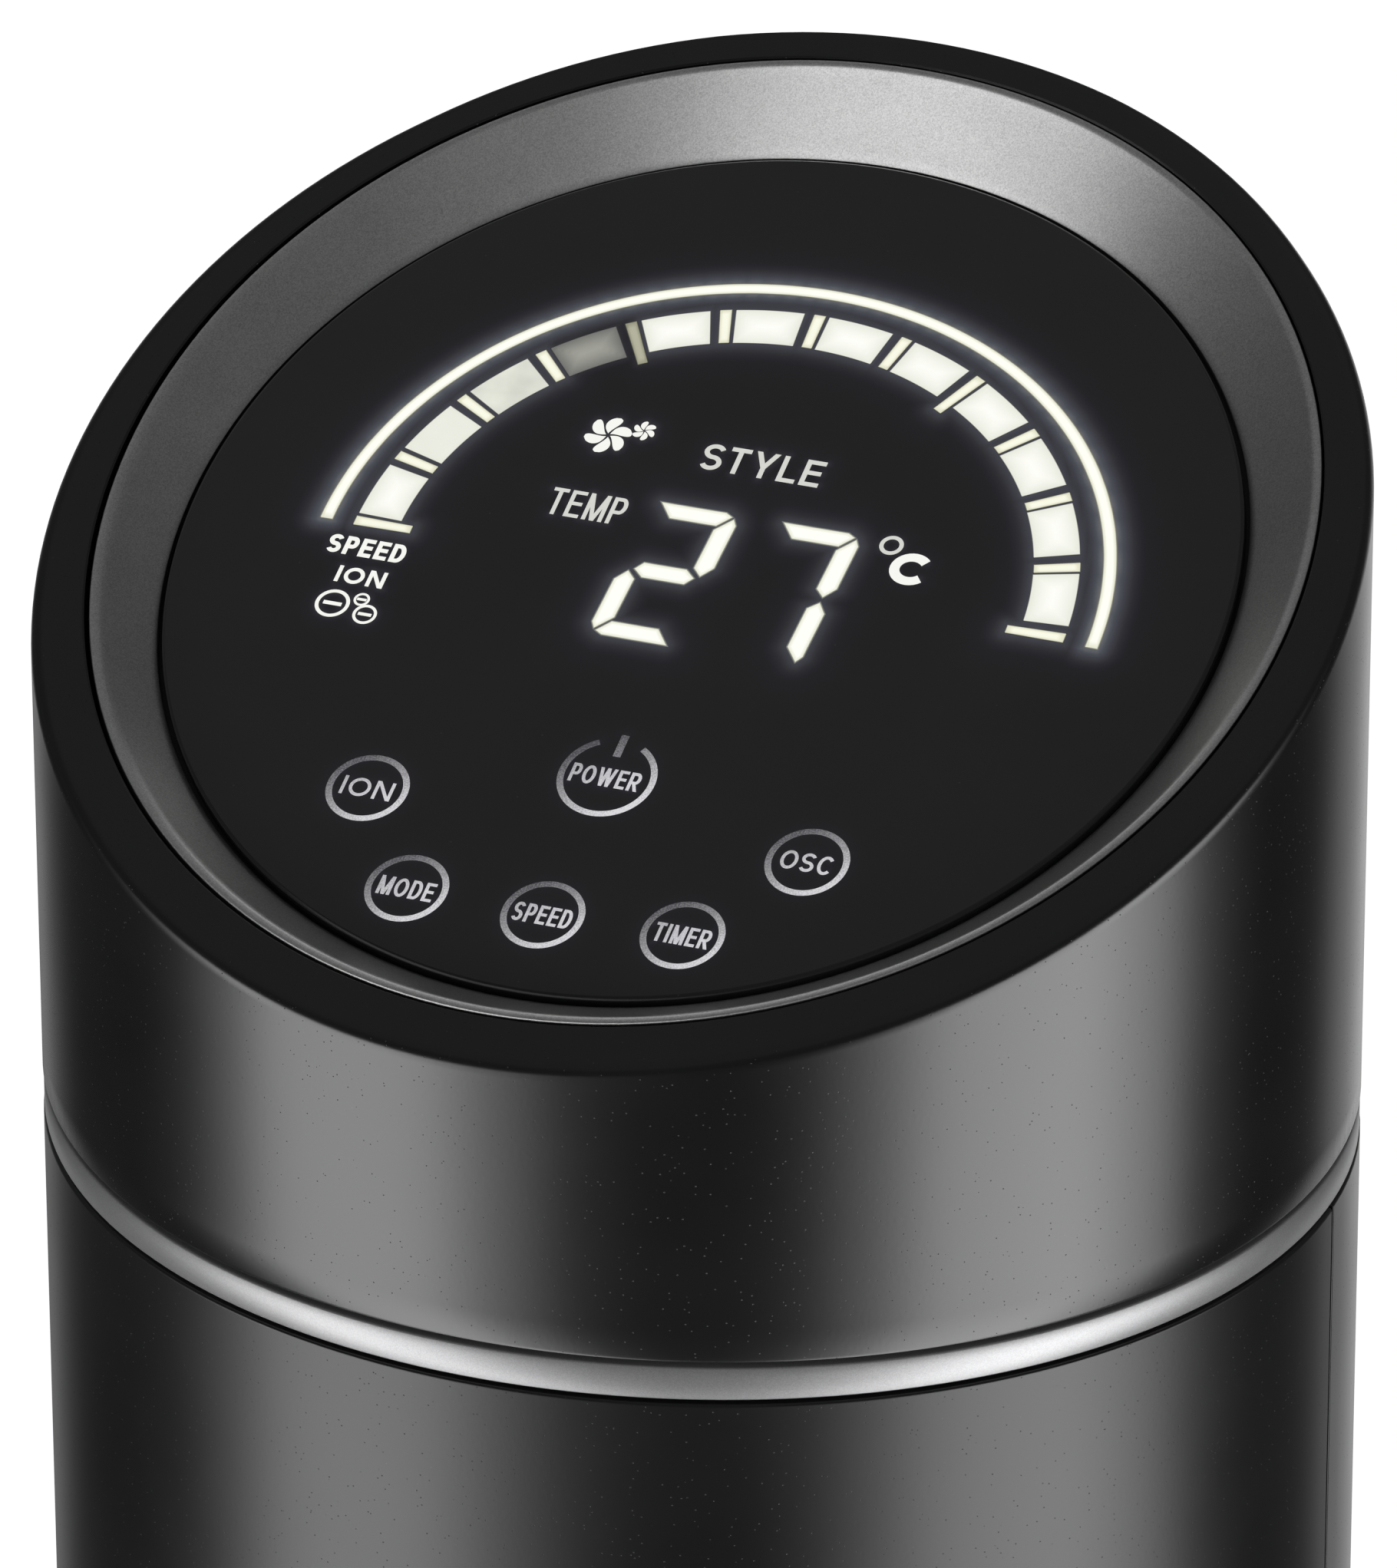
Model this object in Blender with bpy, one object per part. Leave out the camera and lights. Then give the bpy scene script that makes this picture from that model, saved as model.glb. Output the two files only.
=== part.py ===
"""Tower fan: an oval column with a slanted control top that swings on a round base.

Metres, +Z up, the outlet grille faces -Y. The swing axis is the world Z axis, the floor is z = 0.
"""

import math

import bmesh
import bpy
from mathutils import Matrix, Vector

# Column, an oval tube of constant section
HALF_WIDTH = 0.075
HALF_DEPTH = 0.07036
WALL = 0.0025
GAP = 0.0003
FLANGE_BOTTOM = 0.0460
SHELL_BOTTOM = 0.0523
SHELL_TOP = 0.8588
SEAM_ANGLE = 1.7
ROUND = 48

# Outlet window and rear intake
WINDOW_BOTTOM = 0.195
WINDOW_TOP = 0.765
WINDOW_HALF_ANGLE = 40.0
OUTLET_SLOTS = 11
OUTLET_ROWS = 6
INTAKE_SLOTS = 10
INTAKE_ROWS = 8
INTAKE_FROM = 25.0
INTAKE_TO = 155.0

# Head: the band, and the control plane that slopes down to the front
BAND_BOTTOM = 0.8593
BAND_TOP = 0.8633
HEAD_BOTTOM = 0.8639
PLANE_HEIGHT = 0.930
PLANE_TILT = math.radians(24.35)
RIM_FILLET = 0.0035
RING_OUTER = (0.06925, 0.07142)
RING_INNER = (0.0614, 0.0630)
RING_SHIFT = 0.00065
PANEL_SHIFT = -0.00205
PANEL_DEPTH = 0.0044
PANEL_THICKNESS = 0.0020
BOARD_DEPTH = 0.0130
SPRING_DEPTH = 0.0067
TOUCH_POINTS = {
    "power": (0.0, -0.0325),
    "speed": (0.0, -0.05265),
    "ion": (-0.0258, -0.0395),
    "osc": (0.0258, -0.0395),
    "mode": (-0.0161, -0.0523),
    "timer": (0.0161, -0.0523),
}

# Rotor: motor below, a stack of blade sections above it
ROTOR_Y = 0.005
MOTOR_BOTTOM = 0.114
STATOR_BOTTOM = 0.1283
STATOR_TOP = 0.1527
MOUNT_PLATE = (0.1800, 0.1830)
BEARING_PLATE = (0.7665, 0.7695)
IMPELLER_BOTTOM = 0.190
SECTIONS = 4
SECTION_PITCH = 0.143
IMPELLER_RADIUS = 0.0445
BLADES = 16
BLADE_INNER = 0.0350
BLADE_OUTER = 0.0435
SHAFT_RADIUS = 0.004
PIN_RADIUS = 0.003

# Base and the swing drive inside it
BASE_RADIUS = 0.150
BASE_ROUND = 48
PLATE_BOTTOM = 0.0040
FOOT_HEIGHT = 0.0037
FOOT_CIRCLE = 0.122
BOSS_CIRCLE = 0.128
PLATEAU = 0.0425
SPIGOT_RADIUS = 0.024
SPIGOT_BORE = 0.018
SPIGOT_BOTTOM = 0.0105
GEAR_MODULE = 0.0015
SECTOR_TEETH = 48
SECTOR_CUT_TEETH = 14
PINION_TEETH = 12
PINION_Y = GEAR_MODULE * (SECTOR_TEETH + PINION_TEETH) / 2
GLAND_HEIGHT = 0.0123

BLACK = (0.012, 0.012, 0.013)
FINISHES = {
    "satin_black": (BLACK, 0.42, 0.0),
    "gloss_black": ((0.010, 0.010, 0.012), 0.12, 0.0),
    "matt_black": ((0.018, 0.018, 0.019), 0.60, 0.0),
    "silver": ((0.62, 0.63, 0.64), 0.28, 1.0),
    "graphite": ((0.36, 0.36, 0.38), 0.34, 0.9),
    "steel": ((0.55, 0.56, 0.58), 0.35, 1.0),
    "laminations": ((0.30, 0.30, 0.32), 0.50, 1.0),
    "bronze": ((0.55, 0.36, 0.18), 0.40, 1.0),
    "rubber": ((0.020, 0.020, 0.020), 0.80, 0.0),
    "white_plastic": ((0.78, 0.78, 0.76), 0.40, 0.0),
    "circuit_board": ((0.03, 0.16, 0.07), 0.45, 0.0),
    "grey_plastic": ((0.20, 0.20, 0.21), 0.50, 0.0),
}


def clear_scene():
    for old in list(bpy.data.objects):
        bpy.data.objects.remove(old, do_unlink=True)


def empty(name, location=(0, 0, 0), tilt=0.0, parent=None):
    pivot = bpy.data.objects.new(name, None)
    bpy.context.scene.collection.objects.link(pivot)
    pivot.location = location
    pivot.rotation_euler = (tilt, 0, 0)
    pivot.parent = parent
    return pivot


def finish(obj, finish_name):
    """Gives the object a material of its own, in one of the named finishes."""
    colour, roughness, metallic = FINISHES[finish_name]
    material = bpy.data.materials.new(obj.name + "_" + finish_name)
    material.use_nodes = True
    shader = material.node_tree.nodes["Principled BSDF"]
    shader.inputs["Base Color"].default_value = (*colour, 1)
    shader.inputs["Roughness"].default_value = roughness
    shader.inputs["Metallic"].default_value = metallic
    obj.data.materials.append(material)


def solid(name, points, faces, finish_name, parent=None, smooth=True):
    mesh = bpy.data.meshes.new(name)
    mesh.from_pydata([tuple(p) for p in points], [], faces)
    shell = bmesh.new()
    shell.from_mesh(mesh)
    bmesh.ops.recalc_face_normals(shell, faces=shell.faces)
    shell.to_mesh(mesh)
    shell.free()
    for polygon in mesh.polygons:
        polygon.use_smooth = smooth
    obj = bpy.data.objects.new(name, mesh)
    bpy.context.scene.collection.objects.link(obj)
    obj.parent = parent
    if finish_name:
        finish(obj, finish_name)
    return obj


def oval(half_x, half_y, z, count=ROUND, centre=(0.0, 0.0)):
    turns = [2 * math.pi * k / count for k in range(count)]
    return [Vector((centre[0] + half_x * math.cos(t), centre[1] + half_y * math.sin(t), z)) for t in turns]


def circle(radius, z, count=ROUND, centre=(0.0, 0.0)):
    return oval(radius, radius, z, count, centre)


def inset(distance, z, count=ROUND):
    """The column's outline, drawn in by a distance."""
    return oval(HALF_WIDTH - distance, HALF_DEPTH - distance, z, count)


def loft(name, rings, finish_name, parent=None, tube=True):
    """Skins rings of equal point count. A tube joins its last ring to its first, a bar has capped ends."""
    count = len(rings[0])
    points = [point for ring in rings for point in ring]
    last = len(rings) if tube else len(rings) - 1
    faces = []
    for k in range(last):
        low = k * count
        high = ((k + 1) % len(rings)) * count
        for j in range(count):
            after = (j + 1) % count
            faces.append((low + j, low + after, high + after, high + j))
    if not tube:
        faces.append(tuple(range(count)))
        faces.append(tuple(last * count + j for j in range(count)))
    return solid(name, points, faces, finish_name, parent)


def turned(name, profile, finish_name, parent=None, count=ROUND, centre=(0.0, 0.0), tube=True):
    """A part turned on a lathe, from (radius, height) points."""
    rings = [circle(radius, z, count, centre) for radius, z in profile]
    return loft(name, rings, finish_name, parent, tube)


def prism(name, outline, bottom, top, finish_name, parent=None):
    rings = [[Vector((x, y, z)) for x, y in outline] for z in (bottom, top)]
    return loft(name, rings, finish_name, parent, tube=False)


def box(name, centre, size, finish_name, parent=None):
    (x, y, z), (w, d, h) = centre, size
    outline = [(x - w / 2, y - d / 2), (x + w / 2, y - d / 2), (x + w / 2, y + d / 2), (x - w / 2, y + d / 2)]
    return prism(name, outline, z - h / 2, z + h / 2, finish_name, parent)


def rods(name, centres, radius, bottom, top, count=16):
    """Upright rods in one helper mesh, to be joined to a part or cut out of it."""
    points = []
    faces = []
    for centre in centres:
        start = len(points)
        points += circle(radius, bottom, count, centre) + circle(radius, top, count, centre)
        for j in range(count):
            after = (j + 1) % count
            faces.append((start + j, start + after, start + count + after, start + count + j))
        faces.append(tuple(start + j for j in range(count)))
        faces.append(tuple(start + count + j for j in range(count)))
    return solid(name, points, faces, None)


def combine(obj, helper, operation):
    """Joins a helper to a part, or cuts it out, and keeps the helper out of the build."""
    helper.hide_render = True
    helper.display_type = "WIRE"
    helper.parent = obj.parent
    modifier = obj.modifiers.new(operation.lower() + "_" + helper.name, "BOOLEAN")
    modifier.operation = operation
    modifier.solver = "EXACT"
    modifier.object = helper


def spaced(first, last, count):
    return [first + (last - first) * k / count for k in range(count + 1)]


def bars_and_slots(first, last, slots, bar_share):
    """Breaks that alternate bar, slot, bar ... bar. The slots are the odd spans."""
    bar = (last - first) * bar_share / (slots + 1)
    slot = (last - first) * (1 - bar_share) / slots
    breaks = [first]
    for _ in range(slots):
        breaks.append(breaks[-1] + bar)
        breaks.append(breaks[-1] + slot)
    breaks.append(last)
    return breaks


def wall_grid(name, angles, heights, is_open, outer, inner, finish_name, parent):
    """A curved wall on a grid of angles (degrees) and heights, with the open cells left out."""
    columns = len(angles)
    points = []
    for depth in (outer, inner):
        for z in heights:
            for angle in angles:
                t = math.radians(angle)
                x = (HALF_WIDTH - depth) * math.cos(t)
                y = (HALF_DEPTH - depth) * math.sin(t)
                points.append(Vector((x, y, z)))
    back = len(angles) * len(heights)

    def filled(i, j):
        inside = 0 <= i < columns - 1 and 0 <= j < len(heights) - 1
        return inside and not is_open(i, j)

    faces = []
    for j in range(len(heights) - 1):
        for i in range(columns - 1):
            if not filled(i, j):
                continue
            a = j * columns + i
            b, c, d = a + 1, a + columns + 1, a + columns
            faces.append((a, b, c, d))
            faces.append((back + a, back + d, back + c, back + b))
            sides = (((i, j - 1), a, b), ((i + 1, j), b, c), ((i, j + 1), c, d), ((i - 1, j), d, a))
            for neighbour, p, q in sides:
                if not filled(*neighbour):
                    faces.append((p, q, back + q, back + p))
    used = sorted({index for face in faces for index in face})
    renumbered = {old: new for new, old in enumerate(used)}
    faces = [tuple(renumbered[index] for index in face) for face in faces]
    return solid(name, [points[index] for index in used], faces, finish_name, parent)


def involute(angle):
    return math.tan(angle) - angle


def tooth(centre, teeth, module):
    """One gear tooth's outline, from root to root, with 0.15 mm of backlash."""
    pitch = module * teeth / 2
    base = pitch * math.cos(math.radians(20))
    at_pitch = math.pi / (2 * teeth) - 0.000075 / pitch + involute(math.radians(20))
    outline = []
    for radius in (pitch - 1.1 * module, pitch, pitch + 0.8 * module):
        roll = math.acos(base / radius) if radius > base else 0.0
        outline.append((radius, at_pitch - involute(roll)))
    flank = [(radius, centre - half) for radius, half in outline]
    other = [(radius, centre + half) for radius, half in reversed(outline)]
    return [(r * math.cos(t), r * math.sin(t)) for r, t in flank + other]


# ---------------------------------------------------------------- base


def base_cover():
    """The moulded dome of the base, with a level plateau that carries the column."""
    profile = [(0.150, 0.0045), (0.150, 0.0180), (0.1475, 0.0235), (0.142, 0.0255), (0.100, 0.0328)]
    profile += [(0.066, 0.0410), (0.060, PLATEAU), (0.028, PLATEAU), (0.028, 0.0398), (0.060, 0.0398)]
    profile += [(0.099, 0.0303), (0.141, 0.0230), (0.1473, 0.0180), (0.1473, 0.0045)]
    cover = turned("base_cover", profile, "satin_black", count=BASE_ROUND)
    combine(cover, rods("cover_bosses", boss_places(), 0.0045, 0.0068, 0.0265), "UNION")
    combine(cover, rods("cover_boss_holes", boss_places(), 0.0019, 0.0, 0.0200), "DIFFERENCE")
    hole = loft("gland_hole", [gland_ring(0.0047, y) for y in (0.144, 0.152)], None, tube=False)
    combine(cover, hole, "DIFFERENCE")


def boss_places():
    turns = [math.radians(45 + 90 * k) for k in range(4)]
    return [(BOSS_CIRCLE * math.cos(t), BOSS_CIRCLE * math.sin(t)) for t in turns]


def gland_ring(radius, y, count=16):
    turns = [2 * math.pi * k / count for k in range(count)]
    return [Vector((radius * math.cos(t), y, GLAND_HEIGHT + radius * math.sin(t))) for t in turns]


def cord_gland():
    """The rubber gland in the back of the base that the mains lead would leave by."""
    profile = [(0.0044, 0.1495), (0.0044, 0.1468), (0.0055, 0.1468), (0.0055, 0.1440)]
    profile += [(0.0030, 0.1440), (0.0030, 0.1495)]
    loft("cord_gland", [gland_ring(radius, y) for radius, y in profile], "rubber")


def base_plate():
    profile = [(0.147, PLATE_BOTTOM), (0.147, 0.0065)]
    plate = turned("base_plate", profile, "matt_black", count=BASE_ROUND, tube=False)
    combine(plate, rods("plate_screw_holes", boss_places(), 0.0019, 0.0, 0.0200), "DIFFERENCE")


def base_screws():
    for k, place in enumerate(boss_places()):
        profile = [(0.0036, 0.0022), (0.0036, 0.0037), (0.0016, 0.0037), (0.0016, 0.0180)]
        turned(f"base_screw_{k + 1}", profile, "steel", count=12, centre=place, tube=False)


def feet():
    for k in range(4):
        turn = math.radians(90 * k)
        place = (FOOT_CIRCLE * math.cos(turn), FOOT_CIRCLE * math.sin(turn))
        profile = [(0.008, 0.0), (0.009, 0.001), (0.009, FOOT_HEIGHT)]
        turned(f"foot_{k + 1}", profile, "rubber", count=16, centre=place, tube=False)


def ballast_ring():
    """The steel weight that keeps the tall column from tipping."""
    profile = [(0.062, 0.0068), (0.118, 0.0068), (0.118, 0.0108), (0.062, 0.0108)]
    turned("ballast_ring", profile, "steel", count=32)


def turntable_bush():
    """The slippery flanged bush that the column turns in and rests on."""
    sleeve = 0.0277
    profile = [(SPIGOT_RADIUS + GAP, 0.0380), (sleeve, 0.0380), (sleeve, 0.0428), (0.050, 0.0428)]
    profile += [(0.050, 0.0457), (SPIGOT_RADIUS + GAP, 0.0457)]
    turned("turntable_bush", profile, "white_plastic", count=36)


def swing_motor():
    """The small geared stepper motor, hung under the plateau by two ears."""
    centre = (0.0, PINION_Y)
    profile = [(0.0135, 0.0195), (0.014, 0.0200), (0.014, 0.0392)]
    motor = turned("swing_motor", profile, "steel", count=32, centre=centre, tube=False)
    ears = box("motor_ears", (0.0, PINION_Y, 0.0386), (0.042, 0.007, 0.0010), None)
    combine(motor, ears, "UNION")


def pinion(pivot):
    outline = []
    for k in range(PINION_TEETH):
        outline += tooth(math.radians(-90) + 2 * math.pi * k / PINION_TEETH, PINION_TEETH, GEAR_MODULE)
    gear = prism("pinion", outline, 0.0115, 0.0175, "white_plastic", pivot)
    combine(gear, rods("pinion_bore", [(0, 0)], 0.0027, 0.010, 0.019), "DIFFERENCE")
    profile = [(0.00245, 0.0113), (0.00245, 0.0192)]
    turned("pinion_shaft", profile, "steel", pivot, count=16, tube=False)


# ---------------------------------------------------------------- column, bottom to top


def column_foot(column):
    """The column's bottom plate, with its lip inside the shells and its spigot down into the base."""
    lip = WALL + GAP
    rings = [inset(lip, 0.0640), inset(lip, 0.0520), inset(0.0, 0.0520), inset(0.0, 0.0475)]
    rings += [inset(0.0015, FLANGE_BOTTOM), circle(SPIGOT_RADIUS, FLANGE_BOTTOM)]
    rings += [circle(SPIGOT_RADIUS, SPIGOT_BOTTOM), circle(SPIGOT_BORE, SPIGOT_BOTTOM)]
    rings += [circle(SPIGOT_BORE, 0.0500), inset(lip + WALL, 0.0500), inset(lip + WALL, 0.0640)]
    foot = loft("column_foot", rings, "satin_black", column)
    posts = rods("board_posts", board_posts(), 0.0030, 0.0490, 0.0657)
    combine(foot, posts, "UNION")
    combine(foot, rear_screw_holes("foot_screw_holes"), "DIFFERENCE")


def board_posts():
    return [(x, y) for x in (-0.040, 0.040) for y in (-0.021, 0.021)]


def sector_gear(column):
    """The toothed sector clamped on the spigot. Only the arc that the pinion uses has teeth."""
    outline = []
    step = 2 * math.pi / SECTOR_TEETH
    for k in range(SECTOR_CUT_TEETH):
        centre = math.radians(90) + (k - (SECTOR_CUT_TEETH - 1) / 2) * step
        outline += tooth(centre, SECTOR_TEETH, GEAR_MODULE)
    half_arc = SECTOR_CUT_TEETH * step / 2
    first = math.radians(90) + half_arc + math.radians(3)
    last = math.radians(450) - half_arc - math.radians(3)
    outline += [(0.033 * math.cos(t), 0.033 * math.sin(t)) for t in spaced(first, last, 22)]
    gear = prism("sector_gear", outline, 0.0125, 0.0165, "white_plastic", column)
    bore = rods("sector_bore", [(0, 0)], SPIGOT_RADIUS + GAP, 0.010, 0.020, ROUND)
    combine(gear, bore, "DIFFERENCE")


def retaining_washer(column):
    inner = SPIGOT_RADIUS + GAP
    profile = [(inner, 0.0352), (0.030, 0.0352), (0.030, 0.0377), (inner, 0.0377)]
    turned("retaining_washer", profile, "steel", column, count=32)


def front_shell(column):
    """The front half of the column, with the tall outlet window."""
    left = 270 - WINDOW_HALF_ANGLE
    right = 270 + WINDOW_HALF_ANGLE
    angles = spaced(180 - SEAM_ANGLE, left, 7)
    angles += spaced(left, right, 10)[1:]
    angles += spaced(right, 360 + SEAM_ANGLE, 7)[1:]
    heights = [SHELL_BOTTOM, WINDOW_BOTTOM, WINDOW_TOP, SHELL_TOP]

    def is_open(i, j):
        return j == 1 and left <= (angles[i] + angles[i + 1]) / 2 <= right

    wall_grid("front_shell", angles, heights, is_open, 0.0, WALL, "satin_black", column)


def rear_shell(column):
    """The back half of the column, with rows of intake slots."""
    start = SEAM_ANGLE + math.degrees(GAP / HALF_WIDTH)
    plain = 3
    angles = spaced(start, INTAKE_FROM, plain)[:-1]
    angles += bars_and_slots(INTAKE_FROM, INTAKE_TO, INTAKE_SLOTS, 0.42)
    angles += spaced(INTAKE_TO, 180 - start, plain)[1:]
    heights = [SHELL_BOTTOM] + bars_and_slots(WINDOW_BOTTOM, WINDOW_TOP, INTAKE_ROWS, 0.08) + [SHELL_TOP]

    def is_open(i, j):
        in_slots = plain <= i < len(angles) - plain - 1 and (i - plain) % 2 == 1
        return in_slots and j % 2 == 0 and 0 < j < len(heights) - 2

    shell = wall_grid("rear_shell", angles, heights, is_open, 0.0, WALL, "satin_black", column)
    combine(shell, rear_screw_holes("shell_screw_holes"), "DIFFERENCE")


def rear_screw_ring(x, radius, y, count=12):
    turns = [2 * math.pi * k / count for k in range(count)]
    return [Vector((x + radius * math.cos(t), y, 0.058 + radius * math.sin(t))) for t in turns]


def rear_screw_holes(name):
    """Two level holes through the rear shell and the lip of the foot."""
    points = []
    faces = []
    for x in (-0.012, 0.012):
        start = len(points)
        count = 12
        points += rear_screw_ring(x, 0.0017, 0.055) + rear_screw_ring(x, 0.0017, 0.075)
        for j in range(count):
            after = (j + 1) % count
            faces.append((start + j, start + after, start + count + after, start + count + j))
        faces.append(tuple(start + j for j in range(count)))
        faces.append(tuple(start + count + j for j in range(count)))
    return solid(name, points, faces, None)


def rear_screws(column):
    for k, x in enumerate((-0.012, 0.012)):
        profile = [(0.0030, 0.0720), (0.0030, 0.0705), (0.0014, 0.0705), (0.0014, 0.0580)]
        rings = [rear_screw_ring(x, radius, y) for radius, y in profile]
        loft(f"rear_screw_{k + 1}", rings, "steel", column, tube=False)


def outlet_grille(column):
    """The slatted outlet, set just below the shell's surface."""
    half = WINDOW_HALF_ANGLE - 0.4
    angles = bars_and_slots(270 - half, 270 + half, OUTLET_SLOTS, 0.30)
    heights = bars_and_slots(WINDOW_BOTTOM + 0.0005, WINDOW_TOP - 0.0005, OUTLET_ROWS, 0.05)

    def is_open(i, j):
        return i % 2 == 1 and j % 2 == 1

    wall_grid("outlet_grille", angles, heights, is_open, 0.0008, 0.0038, "satin_black", column)


def power_board(column):
    box("power_board", (0, 0, 0.0668), (0.088, 0.050, 0.0016), "circuit_board", column)
    profile = [(0.0095, 0.0679), (0.0095, 0.0930), (0.0085, 0.0945)]
    turned("run_capacitor", profile, "grey_plastic", column, count=20, centre=(0.020, 0.004), tube=False)
    sensor = [(0.0014, 0.0679), (0.0020, 0.0700), (0.0020, 0.0740), (0.0010, 0.0752)]
    turned("temp_sensor", sensor, "white_plastic", column, count=10, centre=(0.036, 0.0), tube=False)


def motor(column):
    """The stator and its two end brackets, hung under the mounting plate."""
    centre = (0.0, ROTOR_Y)
    bore = SHAFT_RADIUS + 0.0001
    lower = [(0.038, 0.1280), (0.034, 0.1280), (0.034, 0.1190), (bore, 0.1190)]
    lower += [(bore, MOTOR_BOTTOM), (0.038, MOTOR_BOTTOM)]
    turned("motor_lower_bracket", lower, "steel", column, count=32, centre=centre)
    stator = [(0.0215, STATOR_BOTTOM), (0.038, STATOR_BOTTOM), (0.038, STATOR_TOP), (0.0215, STATOR_TOP)]
    turned("motor_stator", stator, "laminations", column, count=32, centre=centre)
    top = MOUNT_PLATE[0] - GAP
    upper = [(0.038, 0.1530), (0.038, top), (0.034, top), (0.034, 0.1650), (bore, 0.1650), (bore, 0.1600)]
    upper += [(0.034, 0.1600), (0.034, 0.1530)]
    turned("motor_upper_bracket", upper, "steel", column, count=32, centre=centre)


def cross_plate(name, levels, bore, column):
    """A plate across the inside of the column, with a bore on the rotor's axis and a notch for the loom."""
    low, high = levels
    outer = WALL + GAP
    rings = [inset(outer, low), inset(outer, high), circle(bore, high, centre=(0, ROTOR_Y))]
    rings.append(circle(bore, low, centre=(0, ROTOR_Y)))
    plate = loft(name, rings, "grey_plastic", column)
    hole = rods(name + "_loom_hole", [(-0.055, 0.038)], 0.0035, low - 0.002, high + 0.002)
    combine(plate, hole, "DIFFERENCE")


def top_bearing(column):
    centre = (0.0, ROTOR_Y)
    boot = [(0.0063, 0.7655), (0.0117, 0.7655), (0.0117, 0.7705), (0.0063, 0.7705)]
    turned("bearing_boot", boot, "rubber", column, count=24, centre=centre)
    bore = PIN_RADIUS + 0.00006
    sleeve = [(bore, 0.7655), (0.0060, 0.7655), (0.0060, 0.7705), (bore, 0.7705)]
    turned("bearing_sleeve", sleeve, "bronze", column, count=24, centre=centre)


def thick_path(path, half):
    """The outline of a wall of even thickness along a path of points."""
    left = []
    right = []
    for k, point in enumerate(path):
        before = path[max(k - 1, 0)]
        after = path[min(k + 1, len(path) - 1)]
        along = (after - before).normalized()
        across = Vector((-along.y, along.x)) * half
        left.append(tuple(point + across))
        right.append(tuple(point - across))
    return left + right[::-1]


def duct(column):
    """The air guide around the impeller: a spiral on the left and a folded tongue on the right."""
    low = MOUNT_PLATE[1] + 2 * GAP
    high = BEARING_PLATE[0] - 2 * GAP
    spiral = []
    for turn in spaced(100, 215, 12):
        radius = 0.0475 + 0.013 * (turn - 100) / 115
        t = math.radians(turn)
        spiral.append(Vector((radius * math.cos(t), ROTOR_Y + radius * math.sin(t))))
    spiral.append(Vector((-0.0445, -0.0485)))
    prism("duct_scroll", thick_path(spiral, 0.001), low, high, "matt_black", column)
    tongue = [(0.0440, -0.0485), (0.0485, -0.020), (0.0480, -0.007), (0.0505, -0.003), (0.068, 0.001)]
    tongue = [Vector(point) for point in tongue]
    prism("duct_tongue", thick_path(tongue, 0.001), low, high, "matt_black", column)


def ion_generator(column):
    box("ion_generator", (0, 0.038, 0.7775), (0.040, 0.022, 0.015), "grey_plastic", column)


def wire_loom(column):
    """The wires from the power board to the display board, up the back left of the column."""
    route = [(-0.034, 0.012, 0.0700), (-0.040, 0.020, 0.0850), (-0.052, 0.035, 0.1050)]
    route += [(-0.055, 0.038, 0.1300), (-0.055, 0.038, 0.7900), (-0.050, 0.033, 0.8050)]
    route += [(-0.020, 0.010, 0.8280), (-0.010, 0.004, 0.8450)]
    route += [(-0.010, 0.004, 0.8800), (-0.018, 0.004, 0.9100)]
    curve = bpy.data.curves.new("wire_loom", "CURVE")
    curve.dimensions = "3D"
    curve.bevel_depth = 0.002
    curve.bevel_resolution = 1
    curve.use_fill_caps = True
    spline = curve.splines.new("POLY")
    spline.points.add(len(route) - 1)
    for place, point in zip(spline.points, route):
        place.co = (*point, 1)
    loom = bpy.data.objects.new("wire_loom", curve)
    bpy.context.scene.collection.objects.link(loom)
    loom.parent = column
    finish(loom, "rubber")


# ---------------------------------------------------------------- rotor


def rotor(pivot):
    """Everything that spins: the motor's rotor, the hub, the blade sections and the top pin."""
    shaft = [(SHAFT_RADIUS, 0.108), (SHAFT_RADIUS, 0.130), (0.0208, 0.130), (0.0208, 0.151)]
    shaft += [(SHAFT_RADIUS, 0.151), (SHAFT_RADIUS, 0.1885)]
    turned("motor_rotor", shaft, "steel", pivot, count=32, tube=False)
    bore = SHAFT_RADIUS + GAP
    hub = [(bore, 0.1745), (0.012, 0.1745), (0.012, 0.1860), (0.020, 0.1860), (0.020, 0.1897), (bore, 0.1897)]
    turned("drive_hub", hub, "grey_plastic", pivot, count=24)
    for k in range(SECTIONS):
        impeller_section(k, pivot)
    top = IMPELLER_BOTTOM + SECTIONS * SECTION_PITCH
    bore = PIN_RADIUS + GAP
    cap = [(bore, top), (IMPELLER_RADIUS, top), (IMPELLER_RADIUS, top + 0.0022), (bore, top + 0.0022)]
    turned("impeller_end_cap", cap, "matt_black", pivot, count=32)
    pin = [(PIN_RADIUS, top - 0.004), (PIN_RADIUS, 0.7755), (0.0022, 0.7765)]
    turned("impeller_top_pin", pin, "steel", pivot, count=24, tube=False)


def blade_outline(turn):
    """A thin curved blade, hollow side forward."""
    sweep = math.radians(11)
    half = 0.0006
    middle = []
    for k in range(3):
        share = k / 2
        radius = BLADE_INNER + (BLADE_OUTER - BLADE_INNER) * share
        lean = turn + sweep * share ** 1.6
        middle.append(Vector((radius * math.cos(lean), radius * math.sin(lean))))
    return thick_path(middle, half)


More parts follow.
